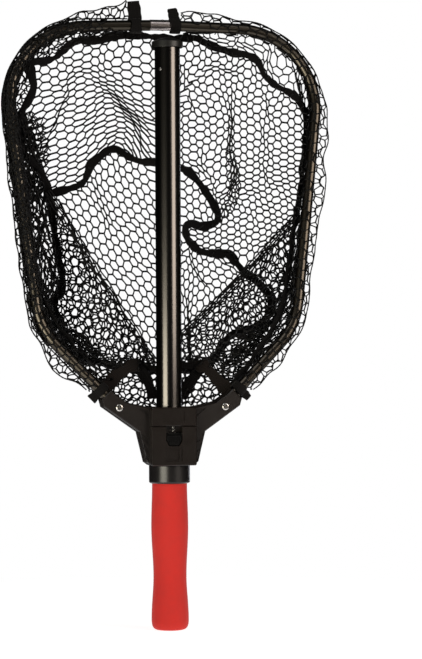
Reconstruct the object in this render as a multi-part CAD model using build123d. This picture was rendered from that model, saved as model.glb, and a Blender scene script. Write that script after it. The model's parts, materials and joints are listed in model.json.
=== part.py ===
from build123d import *
import os
from math import cos, pi, radians, sin, tan

# Landing net with a sliding handle, in millimetres.
# Frame: the origin is the middle of the grip's butt and +Z runs up the handle. The net faces -Y,
# its bag hangs behind it, towards +Y, and the handle tube passes in front of the bag.
# Two bodies slide on each other: the handle (tube, grip, collar, end cap), and the frame (yoke,
# hoop and net), which stands on the collar when the net is stowed. A thumb catch in the yoke
# moves a brake shoe off the tube.

os.makedirs("parts", exist_ok=True)

# Fits and clearances
running_gap = 0.05      # radial, tube in its guide bushes
seat_gap = 0.05         # radial, round pieces that are pressed, glued or screwed together
stand_off = 0.4         # between pieces that move past each other without guiding
sewing_gap = 0.3        # soft goods round the hoop tube

# Handle tube, with a rolled groove along its back that stops the frame turning on it
tube_radius = 14.0
tube_wall = 1.5
tube_length = 635.0
groove_width = 4.0
groove_depth = 1.2
tube_bore = tube_radius - tube_wall

# Grip, moulded over the tube's foot
grip_length = 161.0
grip_top_radius = 19.2
grip_swell_radius = 20.3
grip_swell_height = 109.0
grip_waist_radius = 18.2
grip_waist_height = 56.0
grip_butt_radius = 20.5
grip_butt_height = 11.0
grip_corner = 7.5
butt_wall = 4.0

# Collar that the frame stands on
collar_radius = 22.5
collar_length = 20.0
collar_bottom_round = 2.2
collar_top_round = 0.8

# Plugs in the tube's two ends, the cap on its top and the rivet that holds it and stops the frame
plug_flange = 2.0
plug_length = 18.0
cap_plug_length = 41.0
cap_overhang = 3.2      # the cap stands this much outside the tube
cap_skirt_wall = 1.8
cap_lip = 1.6
cap_rim = 5.0
cap_height = 9.0
cap_flat_radius = 8.0
rivet_head_radius = 1.5
rivet_shank_radius = 1.0
rivet_proud = 0.8
rivet_below_top = 26.0
rivet_turn = 225.0      # degrees from +X, at the front left

cap_radius = tube_radius + cap_overhang
tube_foot = butt_wall + plug_flange
tube_top = tube_foot + tube_length
collar_top = grip_length + collar_length

# Yoke: two shells that meet in the plane of the hoop's ends
hub_foot = collar_top + stand_off
hub_height = 63.6
hub_head = hub_foot + hub_height
split_y = -8.0
shell_depth = 12.0
barrel_wall = 2.5
block_beside = 3.0      # the block reaches this far past its screws
block_depth = 9.0
skirt_flare = 4.3
skirt_out = 12.2
skirt_rise = 36.4
front_inset = 0.8
rib_pocket_depth = 1.6
front_y = split_y - shell_depth
back_y = split_y + shell_depth
block_y = front_y - block_depth

# Arms and the sockets that hold the hoop's ends
socket_x = 59.0
socket_z = hub_head
arm_angle = 46.0
arm_half_width = 7.8
arm_tip = 20.3
tube_end_past_screw = 12.0

# Hoop, in its own plane, which leans back from the handle
hoop_lean = 4.5
hoop_tube_radius = 6.0
hoop_tube_wall = 1.2
hoop_height = 423.5     # from the socket screws to the top bar
hoop_side_x = 143.8     # where the side would meet the lower straight
hoop_side_height = 88.0
hoop_splay = 6.8        # the sides spread upwards by this many degrees
hoop_top_fall = 1.6     # the top bar falls away from the middle by this many degrees
hoop_corner_radius = 88.0
hoop_heel_radius = 80.0
splice_length = 29.0
splice_neck = 2.8
splice_spigot = 30.0
splice_pin_radius = 1.2

# Screws and nuts
socket_screw_radius = 2.0
socket_head_radius = 4.2
socket_head_height = 2.2
socket_nut_radius = 4.0
socket_nut_height = 3.2
shell_screw_radius = 1.3
shell_head_radius = 2.8
shell_head_height = 1.8
shell_screw_beside = 3.0    # the screws stand this far outside the barrel
shell_screw_inset = 8.0

# Guide bushes
bush_wall = 2.5
bush_length = 16.5
bush_lip = 2.0
bush_radius = tube_radius + bush_wall

# Latch: housing, thumb catch, spring, brake shoe and its pad
housing_height = 42.6
cover_gap = 0.5
window_half_width = 9.0
window_low = 21.2       # above the yoke's foot
catch_pad_height = 11.4
catch_pad_half_width = 8.4
catch_plate_overlap = 1.6
catch_plate_height = 14.0
catch_plate_thick = 2.2
catch_proud = 8.5       # the pad's face, before the shells' front face
cavity_depth = 5.4
cavity_roof = 4.0
catch_travel = 8.0
shoe_travel = 1.5
shoe_half_width = 8.0
shoe_height = 12.0
spring_radius = 1.9
spring_wire = 0.7
spring_turns = 7
pad_thick = 2.2
track_depth = 1.0
label_width = 23.5
label_height = 12.0
label_depth = 0.6

# Net: bag, tapes and bindings
bag_wall = 2.0
bag_set_back = 1.8
seam_lean = 14.0        # the bottom panel leans the other way from the hoop
seam_y = 97.0
seam_z = 384.0
bag_bulge = 22.0
bag_bulge_share = 0.62
panel_side_x = 84.0
panel_low_z = 304.0
tape_width = 9.5
tape_thick = 1.6
hem_drop = 13.0
hem_corner_drop = 13.0
binding_wall = 1.3
binding_width = 15.0
binding_narrow = 10.0
binding_left_x = 31.0
binding_right_x = 14.0
binding_left_fin = 27.0
binding_right_fin = 19.0
binding_low_fin = 15.0
sleeve_wall = 0.9

shell_screw_x = tube_radius + bush_wall + barrel_wall + shell_screw_beside
block_half_width = shell_screw_x + block_beside


def slab(sketch, y_low, y_high):
    """A sketch of x and height as a solid from y_low to y_high."""
    plane = Plane((0, y_high, 0), x_dir=(1, 0, 0), z_dir=(0, -1, 0))
    return extrude(plane * sketch, y_high - y_low)


def block(x_low, x_high, y_low, y_high, z_low, z_high):
    size = (x_high - x_low, y_high - y_low, z_high - z_low)
    return Pos(x_low + size[0] / 2, y_low + size[1] / 2, z_low + size[2] / 2) * Box(*size)


def rod(radius, z_low, z_high, x=0.0, y=0.0):
    return Pos(x, y, (z_low + z_high) / 2) * Cylinder(radius, z_high - z_low)


def across(radius, x, z, y_low, y_high):
    """A round rod along Y."""
    return Pos(x, (y_low + y_high) / 2, z) * Rot(90, 0, 0) * Cylinder(radius, y_high - y_low)


def both_sides(shape):
    return shape + mirror(shape, Plane.YZ)


def turned(points):
    """The solid that a profile of radius and height makes when it turns about Z."""
    return revolve(Plane.XZ * make_face(Polyline(*points, close=True)), Axis.Z)


# ---------------------------------------------------------------- handle

def rib_clearance(gap):
    """The groove's rib on the inside of the tube, which the plugs are cut away for."""
    reach = groove_depth + gap
    return Pos(0, tube_bore, 0) * Rectangle(groove_width + 2 * (tube_wall + gap), 2 * reach)


def handle_tube():
    groove = Pos(0, tube_radius, 0) * Rectangle(groove_width, 2 * groove_depth)
    section = Circle(tube_radius) - groove - (Circle(tube_bore) - rib_clearance(0))
    tube = Pos(0, 0, tube_foot) * extrude(section, tube_length)
    return tube - rivet_hole()


def rivet_place():
    """The rivet's own frame: Z points out of the tube."""
    a = radians(rivet_turn)
    out = (cos(a), sin(a), 0)
    seat = (tube_radius * cos(a), tube_radius * sin(a), tube_top - rivet_below_top)
    return Plane(seat, x_dir=(0, 0, 1), z_dir=out).location


def rivet_hole():
    return rivet_place() * Cylinder(rivet_shank_radius + seat_gap, 4 * tube_wall)


def end_cap_rivet():
    head = Cylinder(rivet_head_radius, rivet_proud, align=(Align.CENTER, Align.CENTER, Align.MIN))
    head = fillet(head.edges().sort_by(Axis.Z)[-1], 0.5 * rivet_proud)
    # the head's flat underside bridges the tube's curve on a short neck
    shank = Cylinder(rivet_shank_radius, 2 * tube_wall, align=(Align.CENTER, Align.CENTER, Align.MAX))
    sunk = rod(tube_radius + seat_gap / 5, tube_top - 2 * rivet_below_top, tube_top)
    return rivet_place() * shank + (rivet_place() * head - sunk)


def plug_section():
    return Circle(tube_bore - seat_gap) - rib_clearance(seat_gap)


def butt_plug():
    plug = Pos(0, 0, tube_foot) * extrude(plug_section(), plug_length)
    return plug + rod(tube_radius, butt_wall, tube_foot)


def tube_end_cap():
    plug = Pos(0, 0, tube_top - cap_plug_length) * extrude(plug_section(), cap_plug_length)
    skirt = cap_radius - cap_skirt_wall
    cap = turned([
        (0, tube_top), (skirt, tube_top), (skirt, tube_top - cap_lip), (cap_radius, tube_top - cap_lip),
        (cap_radius, tube_top + cap_rim), (cap_flat_radius, tube_top + cap_height),
        (0, tube_top + cap_height),
    ])
    outer = cap.edges().filter_by(GeomType.CIRCLE).sort_by(SortBy.RADIUS)[-2:]
    cap = fillet(outer, 0.7)
    return plug + cap - rivet_hole()


def grip_sleeve():
    top = (grip_top_radius, grip_length)
    butt = (grip_butt_radius, grip_butt_height)
    bore = tube_radius + seat_gap
    side = Spline(
        top, (grip_swell_radius, grip_swell_height), (grip_waist_radius, grip_waist_height), butt,
        tangents=[(0, -1), (0, -1)],
    )
    corner = Spline(butt, (grip_butt_radius - grip_corner, 0), tangents=[(0, -1), (-1, 0)])
    rest = Polyline(
        (grip_butt_radius - grip_corner, 0), (0, 0), (0, butt_wall), (bore, butt_wall),
        (bore, grip_length), top,
    )
    return revolve(Plane.XZ * make_face([side, corner, rest]), Axis.Z)


def grip_collar():
    ring = rod(collar_radius, grip_length, collar_top)
    ring = fillet(ring.edges().sort_by(Axis.Z)[0], collar_bottom_round)
    ring = fillet(ring.edges().sort_by(Axis.Z)[-1], collar_top_round)
    return ring - rod(tube_radius + seat_gap, grip_length, collar_top)


# ---------------------------------------------------------------- hoop

def hoop_plane(back=0.0):
    """The plane of the hoop's centre line, or one behind it: x across and y up the hoop."""
    a = radians(hoop_lean)
    start = (0, split_y + back * cos(a), socket_z - back * sin(a))
    return Plane(start, x_dir=(1, 0, 0), z_dir=(0, -cos(a), sin(a)))


arm_way = (cos(radians(arm_angle)), sin(radians(arm_angle)))


def along_arm(distance, aside=0.0):
    """A point on an arm's centre line, measured from the socket screw; x and height above it."""
    return (
        socket_x + distance * arm_way[0] - aside * arm_way[1],
        distance * arm_way[1] + aside * arm_way[0],
    )


def hoop_corners():
    """The hoop's right-hand top corner and heel, before they are rounded."""
    heel_rise = (hoop_side_x - socket_x) * tan(radians(arm_angle))
    heel = (hoop_side_x, heel_rise)
    slope = tan(radians(hoop_splay))
    fall = tan(radians(hoop_top_fall))
    rise = (hoop_height - fall * (hoop_side_x - heel_rise * slope)) / (1 + fall * slope)
    return (hoop_side_x + slope * (rise - heel_rise), rise), heel


def hoop_line(start_x, end_past_screw):
    """Half of the hoop's centre line, from near its top to a place beside the socket screw."""
    corner, heel = hoop_corners()
    start = (start_x, hoop_height - start_x * tan(radians(hoop_top_fall)))
    end = along_arm(-end_past_screw)
    return FilletPolyline(start, corner, heel, end, radius=[hoop_corner_radius, hoop_heel_radius])


def round_sweep(line, outer, inner, back=0.0):
    """A pipe along a line that lies in the hoop's plane."""
    path = hoop_plane(back) * line
    section = Plane(origin=path @ 0, z_dir=path % 0)
    pipe = sweep(section * Circle(outer), path=path)
    return pipe - sweep(section * Circle(inner), path=path) if inner else pipe


def hoop_tube():
    face_tilt = hoop_tube_radius * tan(radians(hoop_top_fall))
    line = hoop_line(splice_length / 2 + face_tilt + seat_gap, tube_end_past_screw)
    tube = round_sweep(line, hoop_tube_radius, hoop_tube_radius - hoop_tube_wall)
    hole = across(socket_screw_radius + seat_gap, socket_x, socket_z, front_y, back_y)
    return tube - hole


def hoop_splice():
    """The bare joint piece in the top bar, with a spigot in each tube's end."""
    lean = hoop_plane()
    half = splice_length / 2
    body = Pos(-splice_neck / 2, hoop_height, 0) * Rot(0, 90, 0)
    bare = body * Cylinder(hoop_tube_radius, splice_length - splice_neck)
    neck = Pos(half - splice_neck / 2, hoop_height, 0) * Rot(0, 90, 0)
    ring = neck * Cylinder(hoop_tube_radius - 0.8, splice_neck)
    slack = splice_spigot * tan(radians(hoop_top_fall))
    spigot_radius = hoop_tube_radius - hoop_tube_wall - slack - seat_gap
    drop = (half + splice_spigot / 2) * tan(radians(hoop_top_fall))
    spigot = Pos(0, hoop_height - drop / 2, 0) * Rot(0, 90, 0)
    inside = spigot * Cylinder(spigot_radius - drop / 2, splice_length + 2 * splice_spigot)
    pin = Pos(0, hoop_height, 0) * Rot(90, 0, 0)
    hole = pin * Cylinder(splice_pin_radius + seat_gap, 3 * hoop_tube_radius)
    return lean.location * (bare + ring + inside - hole)


def splice_pin():
    pin = Pos(0, hoop_height, 0) * Rot(90, 0, 0)
    return hoop_plane().location * (pin * Cylinder(splice_pin_radius, 2 * hoop_tube_radius + 0.6))


# ---------------------------------------------------------------- yoke

def yoke_outline():
    tip_high = along_arm(arm_tip, arm_half_width)
    tip_low = along_arm(arm_tip, -arm_half_width)
    right = [
        (block_half_width, hub_foot), (block_half_width + skirt_flare, hub_foot + 3.4),
        (block_half_width + skirt_out, hub_foot + skirt_rise),
        (tip_low[0] - 2.4, socket_z + tip_low[1] - 8.6), (tip_low[0], socket_z + tip_low[1]),
        (tip_high[0], socket_z + tip_high[1]), (tip_high[0] - 5.6, socket_z + tip_high[1] - 5.5),
        (socket_x - 9.6, socket_z + 5.5), (block_half_width + 11, hub_head + 2.5),
        (block_half_width, hub_head),
    ]
    left = [(-x, z) for x, z in reversed(right)]
    return make_face(Polyline(*right, *left, close=True))


def tube_passage():
    """The sockets, the bushes' seats and the tube's own way through the yoke."""
    line = hoop_line(splice_length / 2, tube_end_past_screw + seat_gap)
    socket = round_sweep(line, hoop_tube_radius + seat_gap, 0)
    seats = rod(bush_radius + seat_gap, hub_foot + bush_lip, hub_head - bush_lip)
    way = rod(tube_radius + 2 * stand_off, hub_foot - 1, hub_head + 4)
    return both_sides(socket) + seats + way


def shell_screw_places():
    heights = (hub_foot + shell_screw_inset, hub_head - shell_screw_inset)
    return [(x, z) for x in (-shell_screw_x, shell_screw_x) for z in heights]


def shell_screw_holes():
    holes = [
        across(shell_screw_radius + seat_gap, x, z, front_y + 3, back_y + shell_head_height)
        for x, z in shell_screw_places()
    ]
    return Part() + holes


def socket_holes():
    hole = across(socket_screw_radius + seat_gap, socket_x, socket_z, front_y - 1, back_y + 1)
    return both_sides(hole)


def rib_pockets():
    """Hollows between the diagonal ribs of the right skirt, and the one beside the block's top."""
    inner = block_half_width + 1.2
    pockets = []
    for low, high, outer in ((6, 13, 29.6), (16, 24, 32.2), (27, 35, 34.6)):
        points = [(inner, hub_foot + low - 3), (outer, hub_foot + low + 2),
                  (outer, hub_foot + high), (inner, hub_foot + high - 5)]
        pockets.append(make_face(Polyline(*points, close=True)))
    top = [(inner, hub_head - 3.2), (inner + 11, hub_head - 1.8), (inner, hub_head - 10.5)]
    pockets.append(make_face(Polyline(*top, close=True)))
    cut = Part() + [slab(p, front_y, front_y + rib_pocket_depth) for p in pockets]
    return both_sides(cut)


def shoe_window():
    low = shoe_low() - stand_off
    high = shoe_low() + shoe_height + stand_off
    reach = shoe_half_width + stand_off
    return block(-reach, reach, front_y - 1, 0, low, high)


def yoke_front_shell():
    outline = offset(yoke_outline(), -front_inset, kind=Kind.INTERSECTION)
    shell = slab(outline, front_y, split_y)
    rim = shell.faces().sort_by(Axis.Y)[0].edges()
    shell = chamfer(rim, 0.9)
    shell = shell - tube_passage() - shell_screw_holes() - socket_holes() - rib_pockets()
    return shell - shoe_window()


def yoke_back_shell():
    shell = slab(yoke_outline(), split_y, back_y)
    rim = shell.faces().sort_by(Axis.Y)[-1].edges()
    shell = chamfer(rim, 1.2)
    barrel = rod(bush_radius + barrel_wall, hub_foot, hub_head)
    barrel = barrel - block(-40, 40, -40, split_y, hub_foot - 1, hub_head + 1)
    nut = Pos(socket_x, 0, socket_z) * Rot(90, 0, 0)
    pocket = nut * extrude(RegularPolygon(socket_nut_radius + seat_gap, 6), amount=-back_y - 1)
    pocket = pocket - across(9, socket_x, socket_z, -1, back_y - socket_nut_height)
    shell = shell + barrel - tube_passage() - shell_screw_holes() - socket_holes()
    return shell - both_sides(pocket)


def yoke_shell_screws():
    screws = []
    for x, z in shell_screw_places():
        head = across(shell_head_radius, x, z, back_y, back_y + shell_head_height)
        head = fillet(head.edges().sort_by(Axis.Y)[-1], 0.6)
        bar = Pos(x, back_y + shell_head_height, z)
        slots = bar * Box(0.8, 1.4, 3.6) + bar * Box(3.6, 1.4, 0.8)
        shank = across(shell_screw_radius, x, z, front_y + 3 + seat_gap, back_y)
        screws.append(head + shank - slots)
    return Compound(children=screws)


def socket_screw():
    head = across(socket_head_radius, socket_x, socket_z, front_y - socket_head_height, front_y)
    head = fillet(head.edges().sort_by(Axis.Y)[0], 0.8 * socket_head_height)
    bar = Pos(socket_x, front_y - socket_head_height, socket_z) * Rot(0, 20, 0)
    slots = bar * Box(1.0, 2.4, 4.6) + bar * Box(4.6, 2.4, 1.0)
    shank = across(socket_screw_radius, socket_x, socket_z, front_y, back_y + 0.6)
    return head + shank - slots


def socket_nut():
    nut = Pos(socket_x, back_y, socket_z) * Rot(90, 0, 0)
    body = nut * extrude(RegularPolygon(socket_nut_radius, 6), amount=socket_nut_height)
    return body - across(socket_screw_radius + seat_gap, socket_x, socket_z, -20, 20)


def guide_bush(z_low):
    """A ring round the tube whose key runs in the tube's groove."""
    ring = rod(bush_radius, z_low, z_low + bush_length)
    ring = ring - rod(tube_radius + running_gap, z_low, z_low + bush_length)
    half = groove_width / 2 - 4 * running_gap
    inner = tube_radius - groove_depth + 6 * running_gap
    key = block(-half, half, inner, tube_radius + bush_wall / 2, z_low, z_low + bush_length)
    return ring + key


# ---------------------------------------------------------------- latch

def shoe_low():
    return hub_foot + window_low + 1.6


def cavity():
    """The room for the catch's plate and spring, behind the housing and the cover."""
    half = window_half_width + catch_plate_overlap + stand_off
    low = hub_foot + window_low - 2
    return block(-half, half, front_y - cavity_depth, front_y, low, hub_head - cavity_roof)


def window_outline(clear):
    """The thumb opening, tapering to a round foot; clear shrinks it for the pad."""
    half = window_half_width - clear
    low = hub_foot + window_low + clear
    foot = half - 3.2
    high = hub_foot + housing_height
    points = [(-half, high), (-half, low + 6), (-foot, low), (foot, low), (half, low + 6), (half, high)]
    face = make_face(Polyline(*points, close=True))
    return fillet(face.vertices().sort_by(Axis.Y)[:4], 1.8)


def latch_cover():
    """The front block's lower part, with the thumb opening and a sunken track below it."""
    high = hub_foot + housing_height
    body = block(-block_half_width, block_half_width, block_y, front_y, hub_foot, high)
    edges = body.edges().filter_by(Axis.Y).sort_by(Axis.Z)[:2]
    body = fillet(edges, 2.0)
    body = chamfer(body.faces().sort_by(Axis.Y)[0].edges(), 0.7)
    window = slab(window_outline(0), block_y - 1, front_y)
    track = block(-window_half_width, window_half_width, block_y - 1, block_y + track_depth,
                  hub_foot + 4.5, hub_foot + window_low - 1.5)
    tongue = block(-5.8, 5.8, block_y - 1, block_y + 2 * track_depth,
                   hub_foot + 6.0, hub_foot + window_low - 3.5)
    return body - window - cavity() - track - tongue


def nameplate_cover():
    """The front block's upper part, with a blank sunken panel."""
    low = hub_foot + housing_height + cover_gap
    body = block(-block_half_width, block_half_width, block_y, front_y, low, hub_head)
    edges = body.edges().filter_by(Axis.Y).sort_by(Axis.Z)[-2:]
    body = fillet(edges, 3.6)
    body = chamfer(body.faces().sort_by(Axis.Y)[0].edges(), 0.9)
    middle = (low + hub_head) / 2
    panel = block(-label_width / 2, label_width / 2, block_y - 1, block_y + label_depth,
                  middle - label_height / 2, middle + label_height / 2)
    return body - panel - cavity()


def thumb_catch():
    half = catch_pad_half_width
    low = hub_foot + window_low + stand_off
    plate_y = front_y - cavity_depth + stand_off
    pad = slab(window_outline(window_half_width - half), front_y - catch_proud, plate_y + 0.5)
    above = block(-20, 20, block_y - 9, 0, low + catch_pad_height, hub_head)
    pad = pad - above
    nose = pad.faces().sort_by(Axis.Y)[0].edges()
    pad = chamfer(nose, 0.6)
    grips = [
        block(-half + 2.2, half - 2.2, front_y - catch_proud - 1, front_y - catch_proud + 0.7, z, z + 0.9)
        for z in (low + 4.2, low + 6.2, low + 8.2)
    ]
    reach = window_half_width + catch_plate_overlap
    plate = block(-reach, reach, plate_y, plate_y + catch_plate_thick, low, low + catch_plate_height)
    return pad - grips + plate


def catch_spring():
    low = hub_foot + window_low + stand_off + catch_plate_height + spring_wire / 2 + seat_gap
    high = hub_head - cavity_roof - spring_wire / 2 - seat_gap
    pitch = (high - low) / spring_turns
    coil = Helix(pitch=pitch, height=high - low, radius=spring_radius)
    section = Plane(origin=coil @ 0, z_dir=coil % 0) * Circle(spring_wire / 2)
    wire = sweep(section, path=coil, is_frenet=True)
    middle_y = front_y - cavity_depth / 2
    return Pos(0, middle_y, low) * wire


def shoe_back():
    plate_y = front_y - cavity_depth + stand_off + catch_plate_thick
    return plate_y + stand_off + shoe_travel


def brake_shoe():
    seat = -bush_radius
    low = shoe_low()
    return block(-shoe_half_width, shoe_half_width, shoe_back(), seat, low, low + shoe_height)


def brake_pad():
    low = shoe_low()
    body = block(-shoe_half_width, shoe_half_width, -bush_radius, -tube_radius * 0.7, low, low + shoe_height)
    body = body - rod(tube_radius + stand_off, low - 1, low + shoe_height + 1)
    keep = block(-shoe_half_width, shoe_half_width, -bush_radius, -bush_radius + 2 * pad_thick,
                 low, low + shoe_height)
    return body & keep


# ---------------------------------------------------------------- net

def mouth_outline():
    """The bag's mouth behind the hoop: points of the hoop's plane, right half from the top."""
    corner, heel = hoop_corners()
    throat = along_arm(arm_tip + 6)
    slope = tan(radians(hoop_splay))
    side = [(heel[0] + slope * (h - heel[1]), h) for h in (corner[1] - 90, 190, heel[1] + 12)]
    return [
        (0, hoop_height - 12), (corner[0] - 92, hoop_height - 15), (corner[0] - 36, corner[1] - 30),
        *side, along_arm(arm_tip + 46), throat, (38, 50), (0, 56),
    ]


def seam_outline():
    """The seam round the bottom panel, in that panel's plane: right half from the top."""
    return [(0, 134), (44, 130), (84, 112), (110, 78), (116, 24), (116, -34), (108, -78),
            (82, -108), (40, -122), (0, -124)]


def seam_plane(back=0.0):
    a = radians(seam_lean)
    start = (0, seam_y + back * cos(a), seam_z + back * sin(a))
    return Plane(start, x_dir=(1, 0, 0), z_dir=(0, -cos(a), -sin(a)))


def closed_face(half, scale=1.0, inset=0.0):
    left = [(-x, z) for x, z in reversed(half[1:-1])]
    points = [(x * scale, z * scale) for x, z in [*half, *left]]
    face = make_face(Polyline(*points, close=True))
    return offset(face, -inset, kind=Kind.INTERSECTION) if inset else face


def bag_body(inset, forward):
    """The bag's outer form, or with an inset its inner one, reaching forward out of the mouth."""
    mouth = hoop_plane(hoop_tube_radius + bag_set_back - forward) * closed_face(mouth_outline(), 1, inset)
    seam = seam_plane(-inset / 2) * closed_face(seam_outline(), 1, inset)
    bottom = seam_plane(bag_bulge - inset) * closed_face(seam_outline(), bag_bulge_share, inset)
    return loft([mouth, seam], ruled=True) + loft([seam, bottom], ruled=True)


def net_shell():
    """The whole bag as a thin shell, open at the mouth and clear of the tube and the yoke."""
    shell = bag_body(0, 0) - bag_body(bag_wall, bag_wall)
    tube_way = rod(cap_radius + 2 * stand_off, hub_head, tube_top + 60)
    yoke_way = slab(offset(yoke_outline(), 2.0, kind=Kind.INTERSECTION), front_y, back_y + 3)
    return shell - tube_way - yoke_way


def net_panels():
    """The shell as the netting is cut: a bottom panel, and a side panel in four stretches."""
    walls = split(net_shell(), seam_plane(), keep=Keep.TOP)
    bottom = split(net_shell(), seam_plane(), keep=Keep.BOTTOM)
    level = Plane.XY.offset(panel_low_z)
    lower = split(walls, level, keep=Keep.BOTTOM)
    upper = split(walls, level, keep=Keep.TOP)
    right = split(upper, Plane.YZ.offset(panel_side_x), keep=Keep.TOP)
    middle = split(upper, Plane.YZ.offset(panel_side_x), keep=Keep.BOTTOM)
    left = split(middle, Plane.YZ.offset(-panel_side_x), keep=Keep.BOTTOM)
    top = split(middle, Plane.YZ.offset(-panel_side_x), keep=Keep.TOP)
    return {
        "net_bottom_panel": bottom, "net_lower_wall": lower, "net_upper_wall": top,
        "net_right_wall": right, "net_left_wall": left,
    }


def band(points, width, thick, face):
    """Flat tape along a run of points: one flat piece a span, with round laps between them."""
    pieces = []
    normal = Vector(*face)
    for start, end in zip(points[:-1], points[1:]):
        a, b = Vector(*start), Vector(*end)
        way = (b - a).normalized()
        out = (normal - way * normal.dot(way)).normalized()
        place = Plane((a + b) * 0.5, x_dir=way, z_dir=out)
        pieces.append(place.location * Box((b - a).length, width, thick))
    for point in points:
        place = Plane(Vector(*point), z_dir=normal)
        pieces.append(place.location * Cylinder(width / 2, thick))
    return Part() + pieces


def hem_points():
    """The hem's line inside the hoop: it cuts the top corners and comes back to the tube."""
    line = hoop_line(splice_length / 2, -arm_tip - 16)
    back = hoop_plane(hoop_tube_radius + bag_set_back + tape_thick)
    points = []
    for k in range(19):
        share = k / 18
        spot, way = line @ share, line % share
        corner = max(0.0, 1 - abs(share - 0.27) / 0.2)
        drop = hem_drop + hem_corner_drop * sin(corner * pi / 2) ** 2
        points.append(back.from_local_coords(Vector(spot.X + drop * way.Y, spot.Y - drop * way.X, 0)))
    return points


def net_hem_tape():
    face = (0, -cos(radians(hoop_lean)), sin(radians(hoop_lean)))
    right = hem_points()
    left = [Vector(-p.X, p.Y, p.Z) for p in reversed(right)]
    return band([tuple(p) for p in [*left, *right]], tape_width, tape_thick, face)


def seam_tape():
    plane = seam_plane(-tape_thick)
    half = seam_outline()
    left = [(-x, z) for x, z in reversed(half[1:-1])]
    loop = [plane.from_local_coords(Vector(0.97 * x, 0.97 * z, 0)) for x, z in [*half, *left, half[0]]]
    face = (0, -cos(radians(seam_lean)), -sin(radians(seam_lean)))
    return band([tuple(p) for p in loop], tape_width, tape_thick, face)


def throat_strap():
    """Webbing from arm tip to arm tip, over the throat and behind the tube."""
    clear = cap_radius + 2 * stand_off
    behind = split_y + hoop_tube_radius + sewing_gap + binding_wall + 2 * tape_thick
    tip = along_arm(arm_tip + 6, 1)
    side = [(clear, clear + tape_thick, socket_z + 53), (tip[0] - 32, 10, socket_z + 46),
            (tip[0] - 3, behind, socket_z + tip[1] + 8)]
    left = [(-x, y, z) for x, y, z in reversed(side)]
    return band([*left, *side], tape_width, tape_thick, (0, -1, 0))


def binding(spot, way, width, fin):
    """A loop of webbing sewn round the sleeve's end, with its slack standing outwards."""
    inner = hoop_tube_radius + sewing_gap
    outer = inner + binding_wall
    slack = Polyline((0, -outer), (fin, -binding_wall), (fin, binding_wall), (0, outer), close=True)
    section = Circle(outer) + make_face(slack)
    out = (-way[1], way[0], 0)
    place = Plane(origin=(spot[0], spot[1], 0), x_dir=out, z_dir=(way[0], way[1], 0))
    loop = extrude(place * section, width / 2, both=True)
    hole = extrude(place * Circle(inner), width, both=True)
    return hoop_plane().location * (loop - hole)


def top_binding(x, width, fin):
    fall = radians(hoop_top_fall) * (1 if x > 0 else -1)
    spot = (x, hoop_height - abs(x) * tan(radians(hoop_top_fall)))
    return binding(spot, (cos(fall), -sin(fall)), width, fin)


def low_binding():
    spot = along_arm(arm_tip + 3 * stand_off + binding_narrow / 2)
    return binding(spot, (-arm_way[0], -arm_way[1]), binding_narrow, binding_low_fin)


def net_sleeve(start_x):
    """The tunnel of netting that the right-hand hoop tube runs through."""
    line = hoop_line(start_x, -arm_tip - 4 * stand_off - binding_narrow)
    inner = hoop_tube_radius + sewing_gap
    return round_sweep(line, inner + sleeve_wall, inner)


def flipped(shape):
    return mirror(shape, Plane.YZ)


nodes = {
    "handle_tube": handle_tube(),
    "grip_sleeve": grip_sleeve(),
    "grip_collar": grip_collar(),
    "butt_plug": butt_plug(),
    "tube_end_cap": tube_end_cap(),
    "end_cap_rivet": end_cap_rivet(),
    "yoke_front_shell": yoke_front_shell(),
    "yoke_back_shell": yoke_back_shell(),
    "yoke_shell_screws": yoke_shell_screws(),
    "nameplate_cover": nameplate_cover(),
    "latch_cover": latch_cover(),
    "thumb_catch": thumb_catch(),
    "catch_spring": catch_spring(),
    "brake_shoe": brake_shoe(),
    "brake_pad": brake_pad(),
    "lower_guide_bush": guide_bush(hub_foot + bush_lip),
    "upper_guide_bush": guide_bush(hub_head - bush_lip - bush_length),
    "hoop_tube_right": hoop_tube(),
    "hoop_tube_left": flipped(hoop_tube()),
    "hoop_splice": hoop_splice(),
    "splice_pin": splice_pin(),
    "socket_screw_right": socket_screw(),
    "socket_screw_left": flipped(socket_screw()),
    "socket_nut_right": socket_nut(),
    "socket_nut_left": flipped(socket_nut()),
    **net_panels(),
    "net_hem_tape": net_hem_tape(),
    "net_seam_tape": seam_tape(),
    "throat_strap": throat_strap(),
    "net_sleeve_right": net_sleeve(binding_right_x + binding_narrow / 2),
    "net_sleeve_left": flipped(net_sleeve(binding_left_x + binding_width / 2)),
    "top_binding_right": top_binding(binding_right_x, binding_narrow, binding_right_fin),
    "top_binding_left": top_binding(-binding_left_x, binding_width, binding_left_fin),
    "low_binding_right": low_binding(),
    "low_binding_left": flipped(low_binding()),
}
for name, shape in nodes.items():
    export_step(shape, f"parts/{name}.step")
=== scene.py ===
# %% [markdown]
# # A landing net: the looks
#
# This file is a lesson in cells. Each step starts with a few sentences on what a piece is on the
# real object, how it could be made in Blender, and why this way was chosen.
# The hard parts (tube, grip, yoke, hoop) come in as a fixed frame, in metres, with +Z up the handle
# and the net's mouth towards -Y. The netting and the tapes are soft, so they are made here.

# %% Load the frame
import json
from math import atan2, cos, pi, radians, sin, sqrt, tan

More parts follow.
